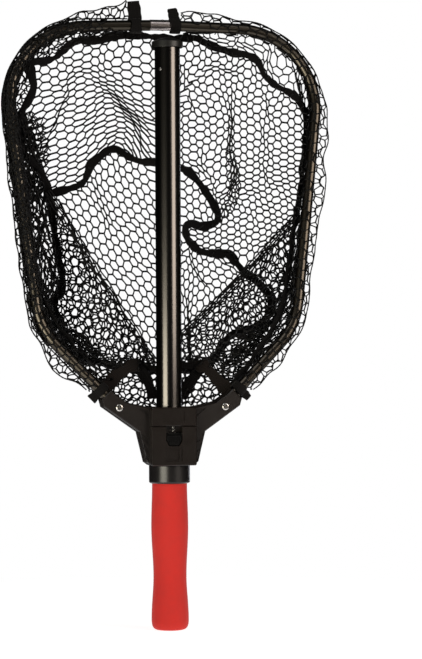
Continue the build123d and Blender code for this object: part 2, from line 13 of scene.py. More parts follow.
import bpy
import numpy as np
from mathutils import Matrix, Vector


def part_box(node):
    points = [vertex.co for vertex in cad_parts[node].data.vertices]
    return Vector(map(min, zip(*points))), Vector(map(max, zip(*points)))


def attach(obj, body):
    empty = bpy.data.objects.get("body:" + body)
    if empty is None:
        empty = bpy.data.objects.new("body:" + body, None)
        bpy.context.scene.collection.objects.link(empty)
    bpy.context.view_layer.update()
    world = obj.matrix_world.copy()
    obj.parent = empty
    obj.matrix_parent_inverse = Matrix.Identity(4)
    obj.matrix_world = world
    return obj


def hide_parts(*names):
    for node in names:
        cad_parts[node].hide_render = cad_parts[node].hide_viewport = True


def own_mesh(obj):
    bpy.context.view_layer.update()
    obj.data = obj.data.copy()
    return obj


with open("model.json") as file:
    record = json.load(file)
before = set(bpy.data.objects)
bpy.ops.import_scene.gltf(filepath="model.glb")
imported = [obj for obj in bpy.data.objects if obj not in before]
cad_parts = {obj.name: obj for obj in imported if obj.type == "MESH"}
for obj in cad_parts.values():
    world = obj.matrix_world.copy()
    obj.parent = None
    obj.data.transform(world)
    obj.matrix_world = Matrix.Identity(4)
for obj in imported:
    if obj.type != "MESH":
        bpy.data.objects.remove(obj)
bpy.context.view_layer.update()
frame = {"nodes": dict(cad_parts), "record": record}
nodes = frame["nodes"]

# %% [markdown]
# ## The camera
#
# A thin object with a see-through net changes a lot with the place it is seen from. The camera
# stands 2.8 m away, 12 degrees to the left of the handle and level with the middle of the net,
# and a long lens keeps the tube's sides parallel. The object stands left of the frame's middle,
# so the camera is moved sideways instead of turned. It also leans a third of a degree.

# %% Camera
MM = 0.001
turn = radians(12.0)
lean_of_camera = radians(0.3)
ahead = np.array([sin(turn), cos(turn), 0.0])
rightwards = np.array([cos(turn), -sin(turn), 0.0])
upwards = np.array([0.0, 0.0, 1.0])
camera_distance = 2800.0
camera_aside, camera_height = 46.5, 329.5
eye = -camera_distance * ahead + camera_aside * rightwards + camera_height * upwards
seen_width = 464.0      # millimetres across the frame, at the handle
sensor_width = 36.0

camera_data = bpy.data.cameras.new("camera")
camera_data.sensor_fit = "HORIZONTAL"
camera_data.sensor_width = sensor_width
camera_data.lens = sensor_width * camera_distance / seen_width
camera = bpy.data.objects.new("camera", camera_data)
camera.location = tuple(eye * MM)
camera.rotation_euler = (radians(90), lean_of_camera, -turn)
bpy.context.scene.collection.objects.link(camera)
bpy.context.scene.camera = camera
print("lens", round(camera_data.lens, 1), "mm")

# %% [markdown]
# ## Stage and light
#
# The object is mostly black and glossy, so the light is chosen for its reflections. An upright round
# tube shows a light at its side as a line, and a light that stands high above doesn't show in it at
# all. So two lights at the sides draw the lines along the tube: the right one stands high and the
# left one low, because the real line on each side fades along the tube. Large panels overhead light
# the matt red grip and the netting. The world is white where the camera looks straight at it and
# dark in reflections, which keeps the black parts black. The floor is a plain pale disc.

# %% World and floor
world = bpy.data.worlds.new("studio")
bpy.context.scene.world = world
world.use_nodes = True
world_nodes = world.node_tree.nodes
world_nodes.clear()
seen = world_nodes.new("ShaderNodeBackground")
seen.inputs["Color"].default_value = (1, 1, 1, 1)
seen.inputs["Strength"].default_value = 1.0
reflected = world_nodes.new("ShaderNodeBackground")
reflected.inputs["Color"].default_value = (0.9, 0.93, 1.0, 1)
reflected.inputs["Strength"].default_value = 0.012
path = world_nodes.new("ShaderNodeLightPath")
choose = world_nodes.new("ShaderNodeMixShader")
world_out = world_nodes.new("ShaderNodeOutputWorld")
link = world.node_tree.links.new
link(path.outputs["Is Camera Ray"], choose.inputs[0])
link(reflected.outputs[0], choose.inputs[1])
link(seen.outputs[0], choose.inputs[2])
link(choose.outputs[0], world_out.inputs[0])
bpy.context.scene.view_settings.view_transform = "Standard"

bpy.ops.mesh.primitive_circle_add(vertices=96, radius=0.6, fill_type="NGON", location=(0, 0, -0.0006))
floor = bpy.context.object
floor.name = "floor"
pale = bpy.data.materials.new("pale_floor")
pale.use_nodes = True
pale_shader = pale.node_tree.nodes["Principled BSDF"]
pale_shader.inputs["Base Color"].default_value = (0.5, 0.5, 0.5, 1)
pale_shader.inputs["Roughness"].default_value = 0.9
pale_shader.inputs["Emission Color"].default_value = (1, 1, 1, 1)
pale_shader.inputs["Emission Strength"].default_value = 0.9
floor.data.materials.append(pale)
print("floor:", [round(v, 2) for v in floor.dimensions], "m")


# %% Lights
def soft_light(name, aside, height, distance, size, power, colour, aim=0.45):
    """A rectangular light; aside is its angle from the camera's side, in degrees, plus to the right."""
    a = radians(aside)
    place = (-cos(a) * ahead + sin(a) * rightwards) * distance + upwards * height
    data = bpy.data.lights.new(name, "AREA")
    data.shape = "RECTANGLE"
    data.size, data.size_y = size
    data.energy = power
    data.color = colour
    lamp = bpy.data.objects.new(name, data)
    lamp.location = tuple(place)
    flat = sqrt(place[0] ** 2 + place[1] ** 2)
    lamp.rotation_euler = (atan2(flat, height - aim), 0, atan2(place[1], place[0]) + pi / 2)
    bpy.context.scene.collection.objects.link(lamp)
    return lamp


soft_light("strip_right", 54, 0.70, 1.6, (0.90, 0.80), 13.5, (1.0, 0.89, 0.79), aim=0.70)
soft_light("strip_left", -32, -0.02, 1.6, (1.00, 0.70), 17, (1.0, 0.95, 0.79), aim=-0.02)
soft_light("strip_behind", 150, 0.45, 1.4, (0.10, 0.9), 1.5, (0.9, 0.92, 1.0), aim=0.45)
soft_light("panel_left", -40, 2.1, 1.6, (1.2, 1.2), 8.5, (1.0, 0.99, 0.98))
soft_light("panel_right", 45, 2.0, 1.6, (1.2, 1.2), 5, (1.0, 0.98, 0.96))

# %% [markdown]
# ## Finishes for the hard parts
#
# Every finish is a Principled shader with a noise that varies its roughness and a fine bump for the
# grain of its surface. The noise is stretched where the real surface has a direction: drawn tube has
# lines along it, turned metal round it. Values that don't vary are typed into the shader itself.

# %% A finish
def finish(name, colour, roughness, metallic=0.0, grain=900.0, bump=0.08, uneven=0.12, mottle=0.12,
           stretch=(1, 1, 1), coat=0.0, sheen=0.0, specular=0.5):
    """A material with uneven roughness, a mottled colour and a fine grain, all from noise."""
    material = bpy.data.materials.new(name)
    material.use_nodes = True
    tree = material.node_tree
    shader = tree.nodes["Principled BSDF"]
    shader.inputs["Metallic"].default_value = metallic
    shader.inputs["Specular IOR Level"].default_value = specular
    shader.inputs["Coat Weight"].default_value = coat
    shader.inputs["Coat Roughness"].default_value = 0.06
    shader.inputs["Sheen Weight"].default_value = sheen
    shader.inputs["Sheen Roughness"].default_value = 0.4
    place = tree.nodes.new("ShaderNodeTexCoord")
    scale = tree.nodes.new("ShaderNodeMapping")
    scale.inputs["Scale"].default_value = stretch
    fine = tree.nodes.new("ShaderNodeTexNoise")
    fine.inputs["Scale"].default_value = grain
    fine.inputs["Detail"].default_value = 3.0
    broad = tree.nodes.new("ShaderNodeTexNoise")
    broad.inputs["Scale"].default_value = grain * 0.07
    broad.inputs["Detail"].default_value = 4.0
    spread = tree.nodes.new("ShaderNodeMapRange")
    spread.inputs["To Min"].default_value = max(0.02, roughness * (1 - uneven))
    spread.inputs["To Max"].default_value = min(1.0, roughness * (1 + uneven))
    tint = tree.nodes.new("ShaderNodeMix")
    tint.data_type = "RGBA"
    tint.inputs[6].default_value = (*[c * (1 - mottle) for c in colour], 1)
    tint.inputs[7].default_value = (*[min(1, c * (1 + mottle)) for c in colour], 1)
    height = tree.nodes.new("ShaderNodeBump")
    height.inputs["Strength"].default_value = bump
    height.inputs["Distance"].default_value = 0.0004
    join = tree.links.new
    join(place.outputs["Object"], scale.inputs["Vector"])
    join(scale.outputs["Vector"], fine.inputs["Vector"])
    join(scale.outputs["Vector"], broad.inputs["Vector"])
    join(broad.outputs["Fac"], spread.inputs["Value"])
    join(spread.outputs["Result"], shader.inputs["Roughness"])
    join(broad.outputs["Fac"], tint.inputs[0])
    join(tint.outputs[2], shader.inputs["Base Color"])
    join(fine.outputs["Fac"], height.inputs["Height"])
    join(height.outputs["Normal"], shader.inputs["Normal"])
    return material


finishes = {
    "tube_black": finish("tube_black", (0.105, 0.098, 0.092), 0.20, metallic=1.0, grain=700, bump=0.01,
                         uneven=0.06, stretch=(1, 1, 0.02)),
    "grip_red": finish("grip_red", (0.53, 0.020, 0.014), 0.78, grain=1500, bump=0.22, mottle=0.10,
                       sheen=0.15, specular=0.3),
    "collar_black": finish("collar_black", (0.007, 0.006, 0.006), 0.30, grain=600, bump=0.05),
    "plug_black": finish("plug_black", (0.015, 0.015, 0.015), 0.5),
    "cap_black": finish("cap_black", (0.009, 0.009, 0.0085), 0.40, grain=900, bump=0.08),
    "rivet_bright": finish("rivet_bright", (0.75, 0.74, 0.72), 0.25, metallic=1.0),
    "yoke_black": finish("yoke_black", (0.0078, 0.0055, 0.0045), 0.35, grain=1400, bump=0.16),
    "screw_steel": finish("screw_steel", (0.66, 0.64, 0.61), 0.24, metallic=1.0, stretch=(1, 6, 1)),
    "cover_black": finish("cover_black", (0.0082, 0.0056, 0.0043), 0.30, grain=1300, bump=0.10),
    "catch_gloss": finish("catch_gloss", (0.006, 0.006, 0.006), 0.18, grain=500, bump=0.03, coat=0.4),
    "spring_steel": finish("spring_steel", (0.45, 0.44, 0.42), 0.3, metallic=1.0),
    "shoe_nylon": finish("shoe_nylon", (0.08, 0.08, 0.08), 0.5),
    "pad_rubber": finish("pad_rubber", (0.03, 0.03, 0.03), 0.8),
    "bush_acetal": finish("bush_acetal", (0.04, 0.04, 0.04), 0.4),
    "hoop_bronze": finish("hoop_bronze", (0.074, 0.065, 0.053), 0.30, metallic=1.0, grain=500, bump=0.04),
    "splice_bare": finish("splice_bare", (0.62, 0.56, 0.55), 0.26, metallic=1.0, grain=700, bump=0.06,
                          stretch=(0.03, 1, 1)),
}
for row in frame["record"]["subparts"]:
    name, kind = row["node"], row["material_slot"]
    if kind in finishes:
        mesh = nodes[name].data
        mesh.materials.clear()
        mesh.materials.append(finishes[kind])
print("finished:", sorted(finishes))

# %% [markdown]
# ## Drawing on a card
#
# Netting has no thickness to speak of and its look is all in its folds. So the folds are drawn in
# two numbers, across and up, on a card through the handle that faces the camera, and each place on
# the card also gets a depth. A point's real place is where the line from the camera through the card
# reaches that depth. All lengths from here on are in millimetres, until a mesh is made.

# %% Card and curves
def at_depth(across, up, depth):
    """The place that lies behind a point of the card, at a depth along the world's Y."""
    card = np.multiply.outer(across, rightwards) + np.multiply.outer(up, upwards)
    ray = card - eye
    reach = (depth - eye[1]) / ray[..., 1]
    return eye + reach[..., None] * ray


def spaced(line, count):
    """The same line with points at even distances."""
    steps = np.linalg.norm(np.diff(line, axis=0), axis=1)
    run = np.concatenate([[0], np.cumsum(steps)])
    places = np.linspace(0, run[-1], count)
    return np.stack([np.interp(places, run, line[:, k]) for k in range(line.shape[1])], 1)


def through(points, count=60):
    """A smooth line through the points."""
    p = np.array(points, float)
    p = np.vstack([2 * p[0] - p[1], p, 2 * p[-1] - p[-2]])
    t = np.linspace(0, 1, 12, endpoint=False)[:, None]
    parts = []
    for a, b, c, d in zip(p[:-3], p[1:-2], p[2:-1], p[3:]):
        parts.append(0.5 * (2 * b + (c - a) * t + (2 * a - 5 * b + 4 * c - d) * t ** 2
                            + (3 * b - a - 3 * c + d) * t ** 3))
    return spaced(np.vstack(parts + [p[-2:-1]]), count)


def length_of(line):
    """A line's length in millimetres."""
    return float(np.linalg.norm(np.diff(line, axis=0), axis=1).sum())


print("300 mm up the card, 100 mm deep:", at_depth(np.array(0.0), np.array(300.0), 100.0).round(1).tolist())

# %% [markdown]
# The hoop's centre line is needed to lay netting round it. It has the same sizes as the part: two
# straight runs and two round corners a side, in a plane that leans back from the handle.

# %% The hoop's line
hoop_foot = np.array([0.0, -8.0, 245.0])
lean = radians(4.5)
hoop_up = np.array([0.0, sin(lean), cos(lean)])
hoop_back = np.array([0.0, cos(lean), -sin(lean)])
hoop_across = np.array([1.0, 0.0, 0.0])
hoop_height, side_x = 423.5, 143.8
splay, fall = tan(radians(6.8)), tan(radians(1.6))
corner_radius, heel_radius = 88.0, 80.0
screw_x, arm_rise = 59.0, radians(46)
arm = np.array([cos(arm_rise), sin(arm_rise)])


def hoop_y(up):
    """The hoop's depth at a height."""
    return hoop_foot[1] + (up - hoop_foot[2]) * tan(lean)


def hoop_line(start_x, end_past_screw, count=400):
    """Half of the hoop's centre line in its own plane, right-hand side, from the top."""
    end = np.array([screw_x, 0.0]) + end_past_screw * arm
    heel = np.array([side_x, (side_x - screw_x) * arm[1] / arm[0]])
    rise = (hoop_height - fall * (side_x - heel[1] * splay)) / (1 + fall * splay)
    corners = [np.array([side_x + splay * (rise - heel[1]), rise]), heel]
    points = [np.array([start_x, hoop_height - start_x * fall]), *corners, end]
    line = [points[0]]
    for before, here, after, radius in zip(points, points[1:], points[2:], (corner_radius, heel_radius)):
        a = (before - here) / np.linalg.norm(before - here)
        b = (after - here) / np.linalg.norm(after - here)
        half = np.arccos(np.clip(a @ b, -1, 1)) / 2
        centre = here + (a + b) / np.linalg.norm(a + b) * radius / sin(half)
        first, last = here + a * radius / tan(half), here + b * radius / tan(half)
        for s in np.linspace(0, 1, 30):
            spoke = (first - centre) * (1 - s) + (last - centre) * s
            line.append(centre + spoke / np.linalg.norm(spoke) * radius)
    return spaced(np.array(line + [end]), count)


def in_hoop_plane(line, side, back=0.0):
    """A line of the hoop's own plane as places in space, on the left (-1) or the right (1)."""
    x, up = side * line[:, 0], line[:, 1]
    return (hoop_foot + np.multiply.outer(x, hoop_across) + np.multiply.outer(up, hoop_up) + back * hoop_back)


print("half the hoop is", round(length_of(hoop_line(12.3, 20.3))), "mm long")

# %% [markdown]
# ## Knotless netting
#
# Knotless netting is a honeycomb of twisted cords: two legs of each cell are short and thick, where
# the cords run together, and four are thinner. It could be a wireframe modifier on a plane, but that
# gives every strand the same thickness. Here the honeycomb is laid out flat, each strand is followed
# into the folded shape, and a small six-sided rod is built along it, thicker towards its ends.

# %% Honeycomb and strands
cell = 12.8            # across the flats
thick_leg, thin_leg = 1.04, 0.82


def honeycomb(width, height, size=cell, angle=0.0):
    """Ends of a flat honeycomb's strands, centred on 0, and which ones are thick."""
    side = size / sqrt(3)
    columns = int(1.3 * width / (1.5 * side)) + 6
    rows = int(1.3 * height / (size / 2)) + 6
    c, r = np.meshgrid(np.arange(columns), np.arange(rows), indexing="ij")
    x = 1.5 * side * (c - columns / 2) + 0.25 * side * np.where((c + r) % 2, -1, 1)
    y = size / 2 * (r - rows / 2)
    spot = np.stack([x, y], -1)
    zig_a, zig_b = spot[:, :-1].reshape(-1, 2), spot[:, 1:].reshape(-1, 2)
    level = ((c + r) % 2 == 0)[:-1]
    flat_a, flat_b = spot[:-1][level], spot[1:][level]
    start, end = np.vstack([zig_a, flat_a]), np.vstack([zig_b, flat_b])
    thick = np.concatenate([np.zeros(len(zig_a), bool), np.ones(len(flat_a), bool)])
    a = radians(angle)
    spin = np.array([[cos(a), sin(a)], [-sin(a), cos(a)]])
    return start @ spin, end @ spin, thick


def inside(outline, x, y):
    """Which points lie inside a closed outline."""
    px, py = outline[:, 0], outline[:, 1]
    qx, qy = np.roll(px, -1), np.roll(py, -1)
    crossed = np.zeros(x.shape, bool)
    for ax, ay, bx, by in zip(px, py, qx, qy):
        if ay == by:
            continue
        spans = (ay > y) != (by > y)
        crossed ^= spans & (x < (bx - ax) * (y - ay) / (by - ay) + ax)
    return crossed


def add_mesh(name, points, faces, material):
    """A mesh object from points in millimetres, riding with the hoop."""
    mesh = bpy.data.meshes.new(name)
    mesh.from_pydata((np.asarray(points) * MM).tolist(), [], faces)
    mesh.polygons.foreach_set("use_smooth", [True] * len(mesh.polygons))
    mesh.materials.append(material)
    piece = bpy.data.objects.new(name, mesh)
    bpy.context.scene.collection.objects.link(piece)
    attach(piece, "frame")
    return piece


def rods(name, start, middle, end, thick, scale=1.0):
    """Six-sided rods along strands given by their ends and middles."""
    sides = 6
    count = len(start)
    way = end - start
    way /= np.linalg.norm(way, axis=1)[:, None] + 1e-9
    helper = np.where(np.abs(way[:, 1:2]) > 0.8, np.array([[0, 0, 1.0]]), np.array([[0, 1.0, 0]]))
    u = np.cross(way, helper)
    u /= np.linalg.norm(u, axis=1)[:, None]
    v = np.cross(way, u)
    angle = np.arange(sides) * 2 * pi / sides
    spoke = np.cos(angle)[None, :, None] * u[:, None] + np.sin(angle)[None, :, None] * v[:, None]
    radius = np.where(thick, thick_leg, thin_leg) * scale
    past = way * 0.35 * radius[:, None]
    rings = [(start - past, 1.12), (middle, 0.94), (end + past, 1.12)]
    points = np.stack([spot[:, None] + spoke * (radius * share)[:, None, None] for spot, share in rings], 1)
    base = np.arange(count)[:, None] * 3 * sides
    k = np.arange(sides)
    after = (k + 1) % sides
    faces = []
    for ring in (0, 1):
        low, high = ring * sides, (ring + 1) * sides
        quads = np.stack([low + k, low + after, high + after, high + k], 1)
        faces += (base[:, :, None] + quads[None]).reshape(-1, 4).tolist()
    faces += (base + k[::-1][None]).tolist() + (base + 2 * sides + k[None]).tolist()
    return add_mesh(name, points.reshape(-1, 3), faces, netting)


netting = finish("net_rubber", (0.0018, 0.0018, 0.0020), 0.50, grain=1200, bump=0.2, mottle=0.3,
                 specular=0.22)
print("one cell covers", round(cell ** 2 * sqrt(3) / 2), "square mm")

# %% [markdown]
# A fold in a net gathers its cells: seen from the front they get narrower, and their real length goes
# into depth. One crease is a line on the flat net with a steepness that is greatest on the line and
# fades away from it. Its two running sums say how far the net is drawn in and how far it stands out.
# Slow waves on top keep the rows from looking ruled.

# %% Creases and waves
def crease(points, half_width, steepest, rise=1.0, ridge=True, fade=0.25):
    """A fold along a line of the flat net; returns a function that gives the shift it causes."""
    line = through(points, 40)
    reach = np.linspace(0, 4 * half_width, 120)
    step = reach[1] - reach[0]
    slope = radians(steepest) * np.exp(-(reach / half_width) ** 2)
    drawn_in = np.concatenate([[0], np.cumsum((1 - np.cos(slope))[:-1] * step)])
    climb = np.concatenate([[0], np.cumsum(np.sin(slope)[:-1] * step)])

    def shift(x, y):
        gap = np.stack([x, y], -1)[:, None, :] - line[None]
        far = np.linalg.norm(gap, axis=2)
        nearest = far.argmin(1)
        run = nearest / (len(line) - 1)
        ahead_point = line[np.minimum(nearest + 1, len(line) - 1)]
        behind_point = line[np.maximum(nearest - 1, 0)]
        way = ahead_point - behind_point
        way /= np.linalg.norm(way, axis=1)[:, None]
        normal = np.stack([-way[:, 1], way[:, 0]], 1)
        d = ((np.stack([x, y], -1) - line[nearest]) * normal).sum(1)
        beyond = np.sqrt(np.maximum(far[np.arange(len(x)), nearest] ** 2 - d ** 2, 0))
        part = np.clip(np.minimum(run, 1 - run) / fade, 0, 1) * np.exp(-(beyond / 25) ** 2)
        part = part * part * (3 - 2 * part)
        loss = np.interp(np.abs(d), reach, drawn_in) * np.exp(-(np.abs(d) / 90) ** 2)
        height = climb[-1] - np.interp(np.abs(d), reach, climb) if ridge else (
            np.sign(d) * np.interp(np.abs(d), reach, climb))
        pull = -np.sign(d) * loss * part
        return normal[:, 0] * pull, normal[:, 1] * pull, -rise * height * part

    return shift


def waves(x, y, seed, size=1.0, length=38.0):
    """Slow uneven waves, the same on every run."""
    rng = np.random.default_rng(seed)
    total = np.zeros_like(x)
    for _ in range(5):
        way = rng.uniform(0, 2 * pi)
        wave = length * rng.uniform(0.6, 1.7)
        phase = rng.uniform(0, 2 * pi)
        total += np.sin((x * cos(way) + y * sin(way)) * 2 * pi / wave + phase)
    return size * total / 2.2


# %% [markdown]
# ## Netting in an outline
#
# Most of the net's panels face the camera. For such a panel the outline and some depths are known
# best, so the panel is a flat honeycomb that is draped by a function, creased, and then cut to its
# outline. Its depth is a thin plate bent through a few known places, which is smooth everywhere.

# %% Depth, and netting on the card
def depth_field(spots):
    """A smooth depth through scattered places of the card: rows of across, up and depth."""
    spots = np.array(spots, float)
    known = spots[:, :2] / 100

    def bend(a, b):
        d = ((a[:, None] - b[None]) ** 2).sum(-1)
        return 0.5 * d * np.log(d + 1e-9)

    flat = np.hstack([np.ones((len(known), 1)), known])
    top = np.hstack([bend(known, known) + 1e-4 * np.eye(len(known)), flat])
    low = np.hstack([flat.T, np.zeros((3, 3))])
    answer = np.linalg.solve(np.vstack([top, low]), np.concatenate([spots[:, 2], np.zeros(3)]))

    def depth(x, y):
        here = np.stack([x, y], -1).reshape(-1, 2) / 100
        values = bend(here, known) @ answer[:-3] + answer[-3] + here @ answer[-2:]
        return values.reshape(np.shape(x))

    return depth


def card_net(name, outline, depth, drape, creases=(), angle=0.0, size=cell, seed=1, unrest=1.2, scale=1.0):
    """Netting that fills an outline on the card; drape puts a place of the flat net on the card."""
    low, high = outline.min(0), outline.max(0)
    middle, span = (low + high) / 2, high - low
    start, end, thick = honeycomb(1.5 * span[0] + 80, 1.5 * span[1] + 80, size, angle)

    def lay(flat):
        x, y = flat[:, 0] + middle[0], flat[:, 1] + middle[1]
        u, v, out = drape(x, y)
        base_u, base_v = u.copy(), v.copy()
        for fold in creases:
            du, dv, dy = fold(base_u, base_v)
            u, v, out = u + du, v + dv, out + dy
        u = u + waves(x, y, seed, unrest)
        v = v + waves(x, y, seed + 1, unrest)
        out = out + waves(x, y, seed + 2, 1.6 * unrest, 55)
        return u, v, out

    half_way = (start + end) / 2
    mu, mv, _ = lay(half_way)
    keep = inside(outline, mu, mv)
    start, end, thick = start[keep], end[keep], thick[keep]
    places = []
    for flat in (start, half_way[keep], end):
        u, v, out = lay(flat)
        places.append(at_depth(u, v, depth(u, v) + out))
    print(name, len(start), "strands")
    return rods(name, *places, thick, scale=scale)


def step_between(value, low, high):
    """0 below low, 1 above high and smooth between."""
    t = np.clip((value - low) / (high - low), 0, 1)
    return t * t * (3 - 2 * t)


print("half way up a step:", float(step_between(np.array(0.5), 0, 1)))

# %% [markdown]
# ## Where the tapes run
#
# The hem tape runs inside the hoop and cuts across its two top corners, because the net is cut a
# little small for the hoop. The seam tape goes round the bottom panel, and it wanders, as tape does
# when slack netting pulls on it from both sides. Each line is given by places on the card, and its
# depth follows from the hoop for the hem and from the leaning bottom panel for the seam.

# %% Tape lines
def with_depth(line, depth):
    """Adds a depth to a line on the card; depth is a number or a function of height."""
    y = depth(line[:, 1]) if callable(depth) else np.full(len(line), float(depth))
    return np.column_stack([line, y])


def behind(up):
    """Just behind the hoop's sleeve at a height."""
    return hoop_y(up) + 9


def seam_depth(up):
    """The bottom panel leans away from the hoop towards its foot."""
    return 97 - (up - 384) * tan(radians(14))


hem_left = with_depth(through([
    (-4, 650), (-20, 652), (-38, 653), (-58, 653), (-74, 648), (-96, 648), (-108, 643), (-116, 635),
    (-124, 629), (-137, 625), (-149, 624), (-150, 613), (-147, 598), (-152, 584), (-160, 571),
    (-166, 561),
], 160), behind)
hem_right = with_depth(through([
    (6, 649), (18, 650), (30, 650), (39, 646), (50, 641), (61, 637), (75, 633), (88, 631), (99, 625),
    (106, 611), (118, 598), (131, 591), (142, 583), (151, 567), (153, 545), (150, 520), (147, 495),
    (143, 470), (139, 445), (135, 420), (132, 395), (130, 376), (125, 355), (117, 335), (106, 316),
    (93, 298), (80, 282), (70, 268),
], 260), behind)
hem_low_left = with_depth(through([
    (-166, 561), (-163, 535), (-160, 500), (-156, 460), (-151, 425), (-146, 392), (-137, 362),
    (-123, 336), (-107, 315), (-90, 297), (-78, 286),
], 120), behind)
seam_left = with_depth(through([
    (-20, 286), (-45, 288), (-66, 291), (-88, 298), (-106, 306), (-116, 318), (-117, 333), (-122, 345),
    (-126, 360), (-118, 372), (-117, 388), (-121, 410), (-124, 430), (-127, 455), (-131, 478),
    (-128, 480), (-112, 484), (-95, 490), (-89, 500), (-84, 512), (-75, 520), (-66, 527), (-56, 528),
    (-45, 521), (-31, 515), (-15, 514), (0, 513),
], 300), seam_depth)
seam_right = with_depth(through([
    (0, 513), (13, 508), (22, 503), (35, 490), (46, 474), (53, 461), (54, 450), (47, 445), (36, 443),
    (25, 446), (19, 441), (21, 430), (30, 419), (41, 414), (55, 413), (67, 412), (74, 404), (84, 392),
    (96, 383), (106, 373), (114, 363), (112, 350), (105, 338), (96, 331), (82, 328), (66, 321),
    (56, 307), (47, 295), (20, 286), (-20, 286),
], 300), lambda up: 0.72 * seam_depth(up) + 14)
print("before the lines are placed in space: hem",
      round(length_of(hem_left) + length_of(hem_right) + length_of(hem_low_left)), "mm, seam",
      round(length_of(seam_left) + length_of(seam_right)), "mm")

# %% [markdown]
# ## The netting, panel by panel
#
# The upper panel hangs from the hem to the seam. On the left its rows arch over the seam's highest
# place and press together there, and a deep crease runs from the corner down to the handle. On the
# right its cells are gathered both ways, and a pleat three layers thick hangs beside the handle.

# %% Upper panel
def joined(*lines):
    """One closed outline on the card from lines in order."""
    return np.vstack([line[:, :2] for line in lines])


def upper_drape(x, y):
    """Rows of the upper panel: pressed together over the seam's peak, gathered on the right."""
    right_side = step_between(x, -15, 20)
    u = np.where(x > 0, 0.62 * x, 0.92 * x) - 2 * right_side
    press = 26 + 37 * np.exp(-((x + 66) / 52) ** 2) + 18 * np.exp(-((x + 145) / 35) ** 2)
    press = press * (1 - right_side) + 41 * right_side
    v = y + press * np.clip((652 - y) / 150, 0, 2.4) ** 1.25
    v = v - 9 * np.exp(-((u - 40) / 22) ** 2) * np.exp(-((v - 480) / 50) ** 2)
    v = v - 0.16 * (u - 92) * step_between(v, 470, 560) * step_between(u, 66, 84)
    v = v + 0.22 * (u - 92) * (1 - step_between(v, 400, 470)) * step_between(u, 66, 84)
    v = v + 0.09 * (u + 62) * (u < -62)
    return u, v, np.zeros_like(x)


upper_creases = [
    crease([(-92, 632), (-72, 604), (-54, 584), (-38, 566), (-26, 550), (-12, 538)], 32, 69, rise=0.25,
           ridge=False),
    crease([(-104, 630), (-112, 606), (-118, 585), (-126, 560), (-136, 530)], 9, 90, rise=0.5, ridge=False),
    crease([(67, 606), (68, 580), (67, 555), (69, 530), (73, 505), (72, 482), (62, 458)], 13, 84, rise=0.4,
           ridge=False),
    crease([(116, 600), (117, 560), (114, 525), (116, 490), (112, 465)], 10, 68, rise=0.4),
    crease([(40, 617), (62, 616), (88, 610)], 10, 68, rise=0.4),
    crease([(22, 630), (22, 595), (18, 560)], 9, 62, rise=0.4),
    crease([(18, 520), (34, 500), (50, 478), (60, 455)], 10, 80, rise=0.4),
]
upper_outline = joined(hem_left[::-1], hem_right[:205], seam_right[::-1][75:], seam_left[::-1][:128],
                       through([(-138, 484), (-148, 515), (-158, 545), (-168, 566)], 20))
upper_depth = depth_field([*hem_left[::16], *hem_right[:200:16], *seam_left[140::14], *seam_right[:230:14],
                           (-140, 520, 50), (20, 580, 46), (-60, 580, 46), (80, 560, 40), (110, 480, 38),
                           (100, 430, 50), (130, 400, 22)])
upper_net = card_net("net_upper", upper_outline, upper_depth, upper_drape, upper_creases, seed=3, unrest=0.9)
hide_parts("net_upper_wall")

# %% [markdown]
# The bottom panel is cut from netting that lies the same way, but it leans, so its cells are narrower
# than they are high and its columns slope. Short folds run out from the sharp turns of the seam.

# %% Bottom panel
def bottom_drape(x, y):
    """Rows of the bottom panel: narrower cells, and columns that slope on the left."""
    right_side = step_between(x, 0, 40)
    u = 0.66 * x - 0.20 * (y - 400) * (1 - right_side) - 0.05 * np.maximum(x, 0)
    v = 400 + (y - 400) * (0.86 - 0.10 * right_side) - 0.10 * u * (1 - right_side)
    return u, v, np.zeros_like(x)


loop = joined(seam_left, seam_right[5:])
bottom_depth = depth_field([
    *seam_left[::16], *seam_right[::16],
    (-50, 440, 112), (-40, 390, 126), (0, 400, 128), (40, 380, 124), (60, 350, 124), (-60, 350, 126),
    (0, 340, 134), (20, 300, 128), (-40, 310, 130), (0, 470, 96),
])
bottom_creases = [
    crease([(17, 420), (26, 398), (38, 379), (52, 365)], 9, 82, rise=0.3),
    crease([(22, 438), (38, 434), (52, 446)], 8, 84, rise=0.5),
    crease([(-88, 500), (-78, 480), (-68, 458), (-62, 432)], 11, 66, rise=0.4),
    crease([(44, 412), (66, 402), (94, 370)], 7, 74, rise=0.4),
]
bottom_net = card_net("net_bottom", loop, bottom_depth, bottom_drape, bottom_creases, seed=11, unrest=0.6)
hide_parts("net_bottom_panel")

# %% [markdown]
# In front of the bottom panel the lower wall rises from the throat to a slanting fold and goes back
# down behind itself, so three layers cross there and look dense. The fold works like a mirror:
# netting that would go past the line is laid back on the near side of it, a little deeper.

# %% Lower wall
def folded_back(line, gap=7.0, spread=1.0, tilt=0.0):
    """A drape that turns the net back along a line; the net lies on the line's left."""
    first, last = np.array(line[0], float), np.array(line[-1], float)
    way = (last - first) / np.linalg.norm(last - first)
    normal = np.array([-way[1], way[0]])

    def drape(x, y):
        off = (x - first[0]) * normal[0] + (y - first[1]) * normal[1]
        run = (x - first[0]) * way[0] + (y - first[1]) * way[1]
        near = np.sqrt(off ** 2 + 1.0)
        run = run * 0.93 + np.where(off < 0, tilt * off, 0)
        u = first[0] + run * way[0] + spread * near * normal[0]
        v = first[1] + run * way[1] + spread * near * normal[1]
        return u, v, np.where(off < 0, gap, 0.0)

    return drape


